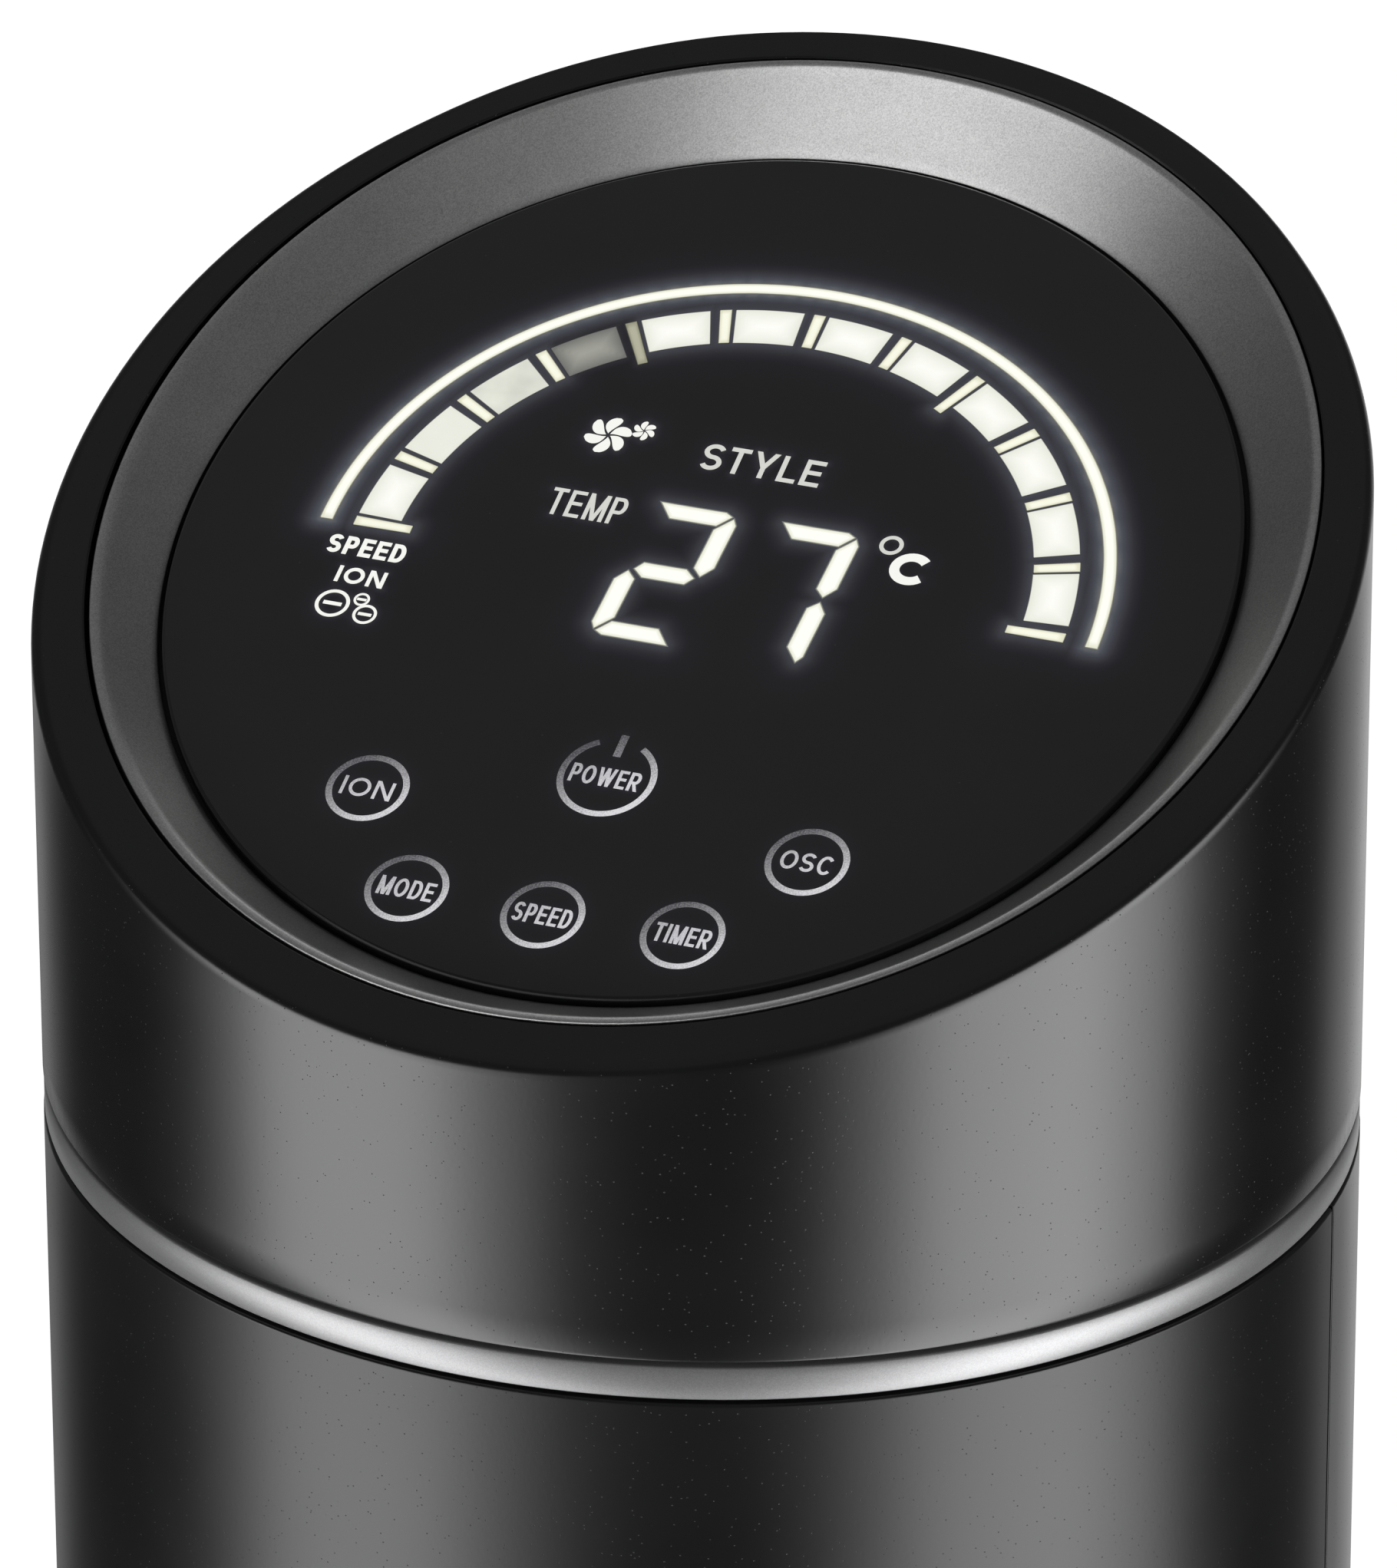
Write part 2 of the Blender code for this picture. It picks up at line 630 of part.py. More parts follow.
def impeller_section(number, pivot):
    """A disc with a ring of blades standing on it, up to the next disc."""
    bottom = IMPELLER_BOTTOM + number * SECTION_PITCH
    disc = [(IMPELLER_RADIUS, bottom), (IMPELLER_RADIUS, bottom + 0.0022)]
    section = turned(f"impeller_section_{number + 1}", disc, "matt_black", pivot, count=32, tube=False)
    points = []
    faces = []
    for k in range(BLADES):
        turn = 2 * math.pi * (k + 0.35 * number) / BLADES
        outline = blade_outline(turn)
        count = len(outline)
        start = len(points)
        points += [Vector((x, y, bottom + 0.0011)) for x, y in outline]
        points += [Vector((x, y, bottom + SECTION_PITCH - GAP)) for x, y in outline]
        for j in range(count):
            after = (j + 1) % count
            faces.append((start + j, start + after, start + count + after, start + count + j))
        faces.append(tuple(start + j for j in range(count)))
        faces.append(tuple(start + count + j for j in range(count)))
    combine(section, solid(f"blades_{number + 1}", points, faces, None), "UNION")


# ---------------------------------------------------------------- head


def top_deck(column):
    """The frame that closes the column, carries the band and takes the head."""
    neck = 0.0055
    rings = [inset(WALL + GAP, 0.8480), inset(WALL + GAP, 0.8580), inset(neck, 0.8580), inset(neck, 0.8730)]
    rings += [inset(0.008, 0.8730), inset(0.008, 0.8555), circle(0.020, 0.8555), circle(0.020, 0.8525)]
    rings += [inset(0.008, 0.8525), inset(0.008, 0.8480)]
    loft("top_deck", rings, "matt_black", column)


def accent_band(column):
    """The silver band between column and head, all but flush with them."""
    back = 0.0001
    edge = 0.0002
    rings = [inset(back + edge, BAND_BOTTOM), inset(back, BAND_BOTTOM + edge), inset(back, BAND_TOP - edge)]
    rings += [inset(back + edge, BAND_TOP), inset(0.0052, BAND_TOP), inset(0.0052, BAND_BOTTOM)]
    loft("accent_band", rings, "silver", column)


def plane_matrix():
    return Matrix.Translation((0, 0, PLANE_HEIGHT)) @ Matrix.Rotation(PLANE_TILT, 4, "X")


def sliced(distance, depth):
    """Where the column's outline, drawn in, meets a plane below the control plane."""
    ring = []
    for point in inset(distance, 0.0):
        below = depth / math.cos(PLANE_TILT)
        ring.append(Vector((point.x, point.y, PLANE_HEIGHT + point.y * math.tan(PLANE_TILT) - below)))
    return ring


def plane_oval(halves, depth, shift=0.0):
    return [plane_matrix() @ point for point in oval(halves[0], halves[1], -depth, centre=(0, shift))]


def head_cap(column):
    """The black cap: a short oval wall up to the slanted, softly rounded rim."""
    corner = sliced(0.0, 0.0)
    below = [Vector((p.x, p.y, p.z - RIM_FILLET)) for p in corner]
    rim_halves = (HALF_WIDTH - RIM_FILLET, HALF_DEPTH / math.cos(PLANE_TILT) - RIM_FILLET)
    inside = plane_oval(rim_halves, 0.0)
    rings = [inset(0.0004, HEAD_BOTTOM), inset(0.0, HEAD_BOTTOM + 0.0005)]
    for share in (0.0, 0.33, 0.67, 1.0):
        weights = ((1 - share) ** 2, 2 * share * (1 - share), share**2)
        mixes = zip(below, corner, inside)
        rings.append([a * weights[0] + b * weights[1] + c * weights[2] for a, b, c in mixes])
    rings += [plane_oval(RING_OUTER, 0.0, RING_SHIFT), plane_oval(RING_OUTER, 0.009)]
    rings += [sliced(WALL, 0.0095), inset(WALL, 0.8705), inset(0.0052, 0.8700), inset(0.0052, HEAD_BOTTOM)]
    loft("head_cap", rings, "satin_black", column)


def trim_ring(plane):
    """The dished metallic ring between the rim and the sunken touch panel."""
    outer = (RING_OUTER[0] - GAP, RING_OUTER[1] - GAP)
    step = (outer[0] - 0.0009, outer[1] - 0.0009)
    middle = ((outer[0] + RING_INNER[0]) / 2, (outer[1] + RING_INNER[1]) / 2)
    levels = [(outer, 0.0003, RING_SHIFT), (step, 0.0010, RING_SHIFT)]
    levels.append((middle, 0.0031, (PANEL_SHIFT + RING_SHIFT) / 2))
    levels += [(RING_INNER, PANEL_DEPTH, PANEL_SHIFT), (RING_INNER, 0.0060, PANEL_SHIFT)]
    levels.append((outer, 0.0030, RING_SHIFT * 2 / 3))
    rings = [oval(halves[0], halves[1], -depth, centre=(0, shift)) for halves, depth, shift in levels]
    loft("trim_ring", rings, "graphite", plane)


def touch_panel(plane):
    bottom = PANEL_DEPTH + PANEL_THICKNESS
    levels = [(0.0010, PANEL_DEPTH), (0.0006, PANEL_DEPTH + 0.0004), (0.0006, bottom)]
    rings = []
    for edge, depth in levels:
        rings.append(oval(RING_INNER[0] - edge, RING_INNER[1] - edge, -depth, centre=(0, PANEL_SHIFT)))
    loft("touch_panel", rings, "gloss_black", plane, tube=False)


def panel_carrier(plane):
    """The frame under the panel's edge, with four posts that hold the display board."""
    low = -0.0087
    high = -0.0067
    inner = (0.0570, 0.0586)
    outer = (RING_OUTER[0] - GAP, RING_OUTER[1] - GAP)
    rings = [oval(outer[0], outer[1], low), oval(outer[0], outer[1], high)]
    rings.append(oval(inner[0], inner[1], high, centre=(0, PANEL_SHIFT)))
    rings.append(oval(inner[0], inner[1], low, centre=(0, PANEL_SHIFT)))
    carrier = loft("panel_carrier", rings, "matt_black", plane)
    places = [(-0.0595, PANEL_SHIFT), (0.0595, PANEL_SHIFT), (0, 0.0590), (0, -0.0631)]
    combine(carrier, rods("carrier_posts", places, 0.0020, -BOARD_DEPTH + GAP, low + 0.001, 10), "UNION")


def display(plane):
    """The light box of the display, the board under it and the six touch springs."""
    rings = [oval(0.046, 0.032, z, 32, (0, 0.012)) for z in (-0.0127, -0.0067)]
    loft("light_guide", rings, "white_plastic", plane, tube=False)
    halves = (0.0605, 0.0625)
    levels = (-BOARD_DEPTH - 0.0016, -BOARD_DEPTH)
    rings = [oval(halves[0], halves[1], z, centre=(0, PANEL_SHIFT)) for z in levels]
    loft("display_board", rings, "circuit_board", plane, tube=False)
    for name, place in TOUCH_POINTS.items():
        touch_spring(name, place, plane)


def touch_spring(name, place, plane):
    """The coil that carries the touch signal from the board to the underside of the panel."""
    turns = 3
    steps = 8 * turns
    radius = 0.0028
    wire = 0.0004
    low = -BOARD_DEPTH + wire + GAP
    rise = BOARD_DEPTH - SPRING_DEPTH - 2 * wire - GAP
    curve = bpy.data.curves.new("touch_spring_" + name, "CURVE")
    curve.dimensions = "3D"
    curve.bevel_depth = wire
    curve.bevel_resolution = 0
    curve.use_fill_caps = True
    spline = curve.splines.new("POLY")
    spline.points.add(steps)
    for k, point in enumerate(spline.points):
        t = 2 * math.pi * turns * k / steps
        x = place[0] + radius * math.cos(t)
        y = place[1] + radius * math.sin(t)
        point.co = (x, y, low + rise * k / steps, 1)
    spring = bpy.data.objects.new("touch_spring_" + name, curve)
    bpy.context.scene.collection.objects.link(spring)
    spring.parent = plane
    finish(spring, "steel")


def build():
    clear_scene()
    column = empty("swing_axis")
    spin_axis = empty("rotor_axis", (0, ROTOR_Y, 0), parent=column)
    plane = empty("control_plane", (0, 0, PLANE_HEIGHT), PLANE_TILT, column)
    pinion_axis = empty("pinion_axis", (0, PINION_Y, 0))
    base_cover()
    base_plate()
    base_screws()
    feet()
    ballast_ring()
    turntable_bush()
    cord_gland()
    swing_motor()
    pinion(pinion_axis)
    column_foot(column)
    sector_gear(column)
    retaining_washer(column)
    front_shell(column)
    rear_shell(column)
    rear_screws(column)
    outlet_grille(column)
    power_board(column)
    motor(column)
    cross_plate("motor_mount_plate", MOUNT_PLATE, 0.014, column)
    cross_plate("top_bearing_plate", BEARING_PLATE, 0.012, column)
    top_bearing(column)
    duct(column)
    ion_generator(column)
    wire_loom(column)
    rotor(spin_axis)
    top_deck(column)
    accent_band(column)
    head_cap(column)
    trim_ring(plane)
    touch_panel(plane)
    panel_carrier(plane)
    display(plane)


build()
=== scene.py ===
"""Tower fan: finishes, fine pieces, control display, studio and camera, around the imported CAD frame.

Metres, +Z up, in the frame's own axes. The outlet faces -Y and the floor is z = 0.
"""

import math

import bmesh
import bpy
from mathutils import Matrix, Vector
from mathutils.kdtree import KDTree

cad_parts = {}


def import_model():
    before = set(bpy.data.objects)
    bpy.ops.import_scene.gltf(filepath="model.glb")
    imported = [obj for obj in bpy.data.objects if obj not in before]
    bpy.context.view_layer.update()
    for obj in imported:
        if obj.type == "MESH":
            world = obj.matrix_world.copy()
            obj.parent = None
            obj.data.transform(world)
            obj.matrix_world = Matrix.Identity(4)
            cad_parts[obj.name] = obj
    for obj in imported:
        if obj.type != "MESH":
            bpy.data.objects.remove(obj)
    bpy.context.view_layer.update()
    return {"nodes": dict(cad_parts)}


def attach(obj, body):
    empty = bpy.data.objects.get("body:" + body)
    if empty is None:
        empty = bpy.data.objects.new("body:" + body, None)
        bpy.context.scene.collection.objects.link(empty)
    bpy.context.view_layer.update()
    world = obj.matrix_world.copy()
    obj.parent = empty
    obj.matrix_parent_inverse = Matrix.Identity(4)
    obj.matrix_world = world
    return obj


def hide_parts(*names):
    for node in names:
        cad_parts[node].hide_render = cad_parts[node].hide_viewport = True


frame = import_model()

MM = 0.001

# Sizes and levels that the CAD has too
HALF_WIDTH = 0.075
HALF_DEPTH = 0.07036
WALL = 0.0025
GAP = 0.0003
SHELL_BOTTOM = 0.0523
SHELL_TOP = 0.8588
SEAM_ANGLE = 1.7
WINDOW_BOTTOM = 0.195
WINDOW_TOP = 0.765
WINDOW_HALF_ANGLE = 40.0
INTAKE_FROM = 25.0
INTAKE_TO = 155.0
BAND_BOTTOM = 0.8593
BAND_TOP = 0.8633
HEAD_BOTTOM = 0.8639
PLANE_HEIGHT = 0.930
PLANE_TILT = math.radians(24.35)
RING_OUTER = (0.06925, 0.07142)
RING_SHIFT = 0.00065
PANEL_DEPTH = 0.0044
PANEL_THICKNESS = 0.0020
ROTOR_Y = 0.005
IMPELLER_BOTTOM = 0.190
SECTION_PITCH = 0.143
IMPELLER_RADIUS = 0.0445
SECTIONS = 4
BLADE_INNER = 0.0350
BLADE_OUTER = 0.0435
BASE_RADIUS = 0.150
SCREWS_X = (-0.012, 0.012)
SCREWS_Z = 0.058
GLAND_HEIGHT = 0.0123
PLATEAU = 0.0425
BAND_INSIDE = 0.0052
RECESS_DEPTH = 0.009
CEILING = 0.8700

# The visible pieces' own shapes: the head's rounded rim, the ring's slope down to the panel, the blades
RIM_RADIUS = 0.0022
DISH_INNER = (0.0613, 0.0626)
DISH_SHIFT = -0.0016
DISH_DEPTH = 0.0050
BLADE_THICKNESS = 0.0010

# How finely they are made
ROUND = 192
OUTLET_SLOTS = 33
OUTLET_ROWS = 30
INTAKE_SLOTS = 40
INTAKE_ROWS = 24
BLADES = 30

# The photograph's viewpoint
VIEW_AZIMUTH = math.radians(21.874)
VIEW_ELEVATION = math.radians(26.355)
VIEW_ROLL = math.radians(-0.1854)
VIEW_DISTANCE = 1.4737
VIEW_HEIGHT = 0.89872
VIEW_SIDE = -0.000135
LENS = 339.86


# ----- mesh tools


def turns(count):
    return [2 * math.pi * k / count for k in range(count)]


def oval(half_x, half_y, z, count=ROUND, centre=(0.0, 0.0)):
    x, y = centre
    return [Vector((x + half_x * math.cos(t), y + half_y * math.sin(t), z)) for t in turns(count)]


def circle(radius, z, count=ROUND, centre=(0.0, 0.0)):
    return oval(radius, radius, z, count, centre)


def inset(distance, z, count=ROUND):
    """The column's outline, drawn in by a distance."""
    return oval(HALF_WIDTH - distance, HALF_DEPTH - distance, z, count)


def skin(rings, tube=True):
    """Points and faces that skin rings of equal point count."""
    count = len(rings[0])
    points = [point for ring in rings for point in ring]
    last = len(rings) if tube else len(rings) - 1
    faces = []
    for k in range(last):
        low = k * count
        high = ((k + 1) % len(rings)) * count
        for j in range(count):
            after = (j + 1) % count
            faces.append((low + j, low + after, high + after, high + j))
    if not tube:
        faces.append(tuple(range(count)))
        faces.append(tuple(last * count + j for j in range(count)))
    return points, faces


def show(name, data):
    obj = bpy.data.objects.new(name, data)
    bpy.context.scene.collection.objects.link(obj)
    return obj


def solid(name, points, faces):
    """An object with one closed mesh, its faces turned outward."""
    mesh = bpy.data.meshes.new(name)
    mesh.from_pydata([tuple(p) for p in points], [], faces)
    shell = bmesh.new()
    shell.from_mesh(mesh)
    bmesh.ops.recalc_face_normals(shell, faces=shell.faces)
    shell.to_mesh(mesh)
    shell.free()
    return show(name, mesh)


def smooth(mesh, crease=35.0):
    for polygon in mesh.polygons:
        polygon.use_smooth = True
    mesh.set_sharp_from_angle(angle=math.radians(crease))


def piece(name, shape, material, body, crease=35.0, matrix=None):
    """A visible piece on a CAD body, with its creases kept sharp."""
    obj = solid(name, *shape)
    smooth(obj.data, crease)
    if matrix is not None:
        obj.matrix_world = matrix
    obj.data.materials.append(material)
    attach(obj, body)
    return obj


def fine(node, shape, material, body, crease=35.0, matrix=None):
    """The detailed piece that takes a CAD node's place."""
    obj = piece(node + "_fine", shape, material, body, crease, matrix)
    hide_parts(node)
    return obj


def store(obj, name, values):
    attribute = obj.data.attributes.new(name, "FLOAT", "POINT")
    attribute.data.foreach_set("value", values)


def bevel(obj, width, segments):
    modifier = obj.modifiers.new("edges", "BEVEL")
    modifier.width = width
    modifier.segments = segments
    modifier.limit_method = "ANGLE"
    modifier.angle_limit = math.radians(35)
    modifier.harden_normals = True


def carve(obj, points, faces):
    """Cuts a helper solid out of a piece for good."""
    helper = solid(obj.name + "_helper", points, faces)
    modifier = obj.modifiers.new("carve", "BOOLEAN")
    modifier.operation = "DIFFERENCE"
    modifier.solver = "EXACT"
    modifier.object = helper
    bpy.context.view_layer.update()
    depsgraph = bpy.context.evaluated_depsgraph_get()
    made = bpy.data.meshes.new_from_object(obj.evaluated_get(depsgraph))
    obj.modifiers.remove(modifier)
    bpy.data.objects.remove(helper, do_unlink=True)
    old = obj.data
    obj.data = made
    bpy.data.meshes.remove(old)
    smooth(made)


def spaced(first, last, count):
    return [first + (last - first) * k / count for k in range(count + 1)]


def bars_and_slots(first, last, slots, bar_share):
    """Breaks that alternate bar, slot, bar ... bar. The slots are the odd spans."""
    bar = (last - first) * bar_share / (slots + 1)
    slot = (last - first) * (1 - bar_share) / slots
    breaks = [first]
    for _ in range(slots):
        breaks += [breaks[-1] + bar, breaks[-1] + bar + slot]
    return breaks + [last]


def wall_grid(angles, heights, is_open, outer, inner):
    """A curved wall on a grid of angles (degrees) and heights, with the open cells left out."""
    columns = len(angles)
    points = []
    for depth in (outer, inner):
        half_x, half_y = HALF_WIDTH - depth, HALF_DEPTH - depth
        for z in heights:
            for t in map(math.radians, angles):
                points.append(Vector((half_x * math.cos(t), half_y * math.sin(t), z)))
    back = columns * len(heights)

    def filled(i, j):
        inside = 0 <= i < columns - 1 and 0 <= j < len(heights) - 1
        return inside and not is_open(i, j)

    faces = []
    for j in range(len(heights) - 1):
        for i in range(columns - 1):
            if not filled(i, j):
                continue
            a = j * columns + i
            b, c, d = a + 1, a + columns + 1, a + columns
            faces.append((a, b, c, d))
            faces.append((back + a, back + d, back + c, back + b))
            sides = (((i, j - 1), a, b), ((i + 1, j), b, c), ((i, j + 1), c, d), ((i - 1, j), d, a))
            for neighbour, p, q in sides:
                if not filled(*neighbour):
                    faces.append((p, q, back + q, back + p))
    used = sorted({index for face in faces for index in face})
    renumbered = {old: new for new, old in enumerate(used)}
    return [points[k] for k in used], [tuple(renumbered[k] for k in face) for face in faces]


# ----- material tools


class Nodes:
    """Shorthand for building a node tree."""

    def __init__(self, tree):
        self.tree = tree

    def add(self, kind, **settings):
        node = self.tree.nodes.new(kind)
        for key, value in settings.items():
            setattr(node, key, value)
        return node

    def link(self, source, target):
        self.tree.links.new(source, target)

    def math(self, operation, a, b=None, clamp=False):
        node = self.add("ShaderNodeMath", operation=operation, use_clamp=clamp)
        for socket, value in zip(node.inputs, (a, b)):
            if isinstance(value, (int, float)):
                socket.default_value = value
            elif value is not None:
                self.link(value, socket)
        return node.outputs[0]

    def ramp(self, source, stops, interpolation="LINEAR"):
        node = self.add("ShaderNodeValToRGB")
        node.color_ramp.interpolation = interpolation
        elements = node.color_ramp.elements
        while len(elements) < len(stops):
            elements.new(0.5)
        for element, (position, colour) in zip(elements, stops):
            element.position = position
            if isinstance(colour, (int, float)):
                colour = (colour, colour, colour)
            element.color = (*colour, 1)
        self.link(source, node.inputs["Fac"])
        return node.outputs["Color"]


class Finish(Nodes):
    """A node material under construction, on one Principled shader."""

    def __init__(self, name, colour, roughness, metallic=0.0, specular=0.5):
        self.material = bpy.data.materials.new(name)
        self.material.use_nodes = True
        super().__init__(self.material.node_tree)
        self.shader = self.tree.nodes["Principled BSDF"]
        self.set("Base Color", (*colour, 1))
        self.set("Roughness", roughness)
        self.set("Metallic", metallic)
        self.set("Specular IOR Level", specular)
        self.set("IOR", 1.5)
        self.place = self.add("ShaderNodeTexCoord").outputs["Object"]

    def set(self, socket, value):
        self.shader.inputs[socket].default_value = value

    def feed(self, source, socket):
        self.link(source, self.shader.inputs[socket])

    def noise(self, scale, detail=2.0, roughness=0.5, place=None):
        node = self.add("ShaderNodeTexNoise")
        node.inputs["Scale"].default_value = scale
        node.inputs["Detail"].default_value = detail
        node.inputs["Roughness"].default_value = roughness
        self.link(place or self.place, node.inputs["Vector"])
        return node.outputs["Fac"]

    def cells(self, scale, feature="F1"):
        node = self.add("ShaderNodeTexVoronoi", feature=feature)
        node.inputs["Scale"].default_value = scale
        self.link(self.place, node.inputs["Vector"])
        return node.outputs

    def mix(self, share, a, b):
        """Between a and a plain colour b, where a is an output or a plain colour."""
        node = self.add("ShaderNodeMix", data_type="RGBA")
        node.inputs["B"].default_value = (*b, 1)
        if isinstance(a, tuple):
            node.inputs["A"].default_value = (*a, 1)
        else:
            self.link(a, node.inputs["A"])
        self.link(share, node.inputs["Factor"])
        return node.outputs["Result"]

    def colour(self, source, stops):
        self.feed(self.ramp(source, stops), "Base Color")

    def rough(self, source, low, high):
        self.feed(self.ramp(source, [(0.3, low), (0.7, high)]), "Roughness")

    def shine(self, source, strength=1.0):
        self.feed(source, "Emission Color")
        self.set("Emission Strength", strength)

    def bump(self, source, depth, strength, before=None):
        node = self.add("ShaderNodeBump")
        node.inputs["Strength"].default_value = strength
        node.inputs["Distance"].default_value = depth
        self.link(source, node.inputs["Height"])
        if before is not None:
            self.link(before, node.inputs["Normal"])
        self.feed(node.outputs["Normal"], "Normal")
        return node.outputs["Normal"]


def satin_plastic(name, dark, light, roughness, specular=0.5):
    """Moulded plastic with a fine spark-eroded grain, faint mottling, small pits and specks of dust."""
    finish = Finish(name, light, roughness, specular=specular)
    mottle = finish.noise(55.0, 4.0)
    pit = finish.ramp(finish.cells(1150.0)["Distance"], [(0.06, 0.0), (0.10, 1.0)])
    speck = finish.ramp(finish.cells(632.5)["Distance"], [(0.022, 1.0), (0.034, 0.0)])
    tone = finish.ramp(mottle, [(0.25, dark), (0.75, light)])
    finish.feed(finish.mix(speck, tone, (0.09, 0.09, 0.09)), "Base Color")
    even = finish.ramp(mottle, [(0.3, roughness - 0.01), (0.7, roughness + 0.01)])
    pitted = finish.math("MULTIPLY", finish.math("SUBTRACT", 1.0, pit), 0.30)
    finish.feed(finish.math("ADD", even, pitted, clamp=True), "Roughness")
    normal = finish.bump(finish.noise(1800.0), 0.00001, 0.4)
    finish.bump(pit, 0.00003, 0.6, before=normal)
    return finish.material


def flake_metal(name, dark, light, roughness, metallic=1.0):
    """Metallic paint: tiny flakes that differ in tone and tilt."""
    finish = Finish(name, light, roughness, metallic)
    cells = finish.cells(8500.0)["Color"]
    tone = finish.noise(5100.0, 2.0, 0.7)
    drift = finish.noise(140.0)
    grain = finish.math("ADD", finish.math("MULTIPLY", cells, 0.45), finish.math("MULTIPLY", tone, 0.4))
    grain = finish.math("ADD", grain, finish.math("MULTIPLY", drift, 0.15))
    finish.colour(grain, [(0.22, dark), (0.78, light)])
    finish.rough(tone, roughness - 0.03, roughness + 0.03)
    finish.bump(grain, 0.000012, 0.35)
    return finish.material


def brushed_steel(name, dark, light, roughness):
    finish = Finish(name, light, roughness, 1.0)
    stretch = finish.add("ShaderNodeMapping")
    stretch.inputs["Scale"].default_value = (1.0, 1.0, 12.0)
    finish.link(finish.place, stretch.inputs["Vector"])
    lines = finish.noise(400.0, 4.0, 0.6, stretch.outputs["Vector"])
    finish.colour(lines, [(0.3, dark), (0.7, light)])
    finish.rough(lines, roughness - 0.06, roughness + 0.08)
    finish.bump(lines, 0.00003, 0.4)
    return finish.material


def laminated_steel():
    """A stack of thin sheets, seen from their edges."""
    finish = Finish("laminated_steel", (0.30, 0.30, 0.32), 0.5, 1.0)
    wave = finish.add("ShaderNodeTexWave", wave_type="BANDS", bands_direction="Z")
    wave.inputs["Scale"].default_value = 320.0
    finish.link(finish.place, wave.inputs["Vector"])
    finish.colour(wave.outputs["Fac"], [(0.2, (0.12, 0.12, 0.13)), (0.7, (0.42, 0.42, 0.44))])
    finish.rough(finish.noise(500.0), 0.42, 0.6)
    finish.bump(wave.outputs["Fac"], 0.00008, 0.8)
    return finish.material


def rubber():
    finish = Finish("black_rubber", (0.018, 0.018, 0.018), 0.82, specular=0.3)
    dust = finish.noise(180.0, 5.0, 0.65)
    finish.colour(dust, [(0.35, (0.012, 0.012, 0.012)), (0.8, (0.045, 0.044, 0.042))])
    finish.rough(dust, 0.74, 0.92)
    finish.bump(finish.noise(2400.0), 0.00004, 0.5)
    return finish.material


def circuit_board():
    """Green solder mask over copper tracks, with rows of tinned pads."""
    finish = Finish("circuit_board", (0.02, 0.16, 0.06), 0.4)
    track = finish.ramp(finish.cells(130.0, "DISTANCE_TO_EDGE")["Distance"], [(0.05, 1.0), (0.09, 0.0)])
    pad = finish.ramp(finish.cells(260.0)["Distance"], [(0.16, 1.0), (0.20, 0.0)])
    mask = finish.mix(track, (0.012, 0.10, 0.035), (0.03, 0.20, 0.07))
    finish.feed(finish.mix(pad, mask, (0.55, 0.55, 0.50)), "Base Color")
    finish.rough(finish.noise(300.0), 0.32, 0.48)
    finish.bump(track, 0.00004, 0.7)
    return finish.material


def gloss_panel():
    """The touch panel's smooth black face. The glow attribute is the display's light that spreads in it."""
    finish = Finish("gloss_black_panel", (0.014, 0.014, 0.015), 0.16)
    haze = finish.noise(38.0, 5.0, 0.6)
    speck = finish.ramp(finish.cells(230.0)["Distance"], [(0.012, 1.0), (0.03, 0.0)])
    tone = finish.ramp(haze, [(0.3, (0.026, 0.026, 0.0265)), (0.7, (0.030, 0.030, 0.0305))])
    dusty = finish.mix(finish.math("MULTIPLY", speck, 0.5), tone, (0.10, 0.10, 0.10))
    finish.feed(dusty, "Base Color")
    finish.rough(haze, 0.15, 0.19)
    finish.bump(finish.noise(700.0), 0.000004, 0.3)
    glow = finish.add("ShaderNodeAttribute", attribute_name="glow")
    finish.shine(finish.ramp(glow.outputs["Fac"], GLOW_STOPS))
    return finish.material


# The colour of the display's spread light, by its strength
GLOW_STOPS = [
    (0.0, (0.0, 0.0, 0.0)),
    (0.15, (0.002, 0.002, 0.0045)),
    (0.23, (0.007, 0.007, 0.012)),
    (0.30, (0.015, 0.015, 0.019)),
    (0.47, (0.038, 0.039, 0.052)),
    (0.60, (0.056, 0.061, 0.077)),
    (0.75, (0.100, 0.106, 0.120)),
    (1.0, (0.170, 0.175, 0.180)),
]


def lit(name, edge, middle, faint=(0.020, 0.020, 0.028)):
    """A lit window. The lit attribute is -1 where its light fades out, 0 at its edge and 1 inside."""
    finish = Finish(name, (0.014, 0.014, 0.015), 0.17)
    level = finish.add("ShaderNodeAttribute", attribute_name="lit")
    cloud = finish.math("MULTIPLY", finish.math("SUBTRACT", finish.noise(260.0), 0.5), 0.12)
    share = finish.math("ADD", finish.math("MULTIPLY", level.outputs["Fac"], 0.5), 0.5)
    faded = tuple(0.25 * value for value in edge)
    stops = [(0.0, faint), (0.25, faded), (0.5, edge), (1.0, middle)]
    finish.shine(finish.ramp(finish.math("ADD", share, cloud), stops))
    return finish.material


def print_with_painted_highlight(name, start, middle, end):
    """Silver print on the panel, faintly lit from below, with a painted highlight: its colour and glow are
    made lighter towards the lower right of each piece.
    """
    finish = Finish(name, (0.20, 0.20, 0.21), 0.4, 0.6)
    split = finish.add("ShaderNodeSeparateXYZ")
    finish.link(finish.place, split.inputs["Vector"])
    # painted highlight: colour and glow rise towards the lower right of each piece, measured from the
    # piece's own middle
    across = finish.math("MULTIPLY", split.outputs["X"], 62.0)
    down = finish.math("MULTIPLY", split.outputs["Y"], -72.0)
    speckle = finish.math("MULTIPLY", finish.math("SUBTRACT", finish.noise(5200.0), 0.5), 0.9)
    level = finish.math("ADD", finish.math("ADD", across, down), speckle)
    share = finish.math("ADD", level, 0.5, clamp=True)
    finish.colour(share, [(0.0, (0.05, 0.05, 0.055)), (1.0, (0.30, 0.30, 0.31))])
    finish.shine(finish.ramp(share, [(0.0, start), (0.5, middle), (1.0, end)]), 0.85)
    return finish.material


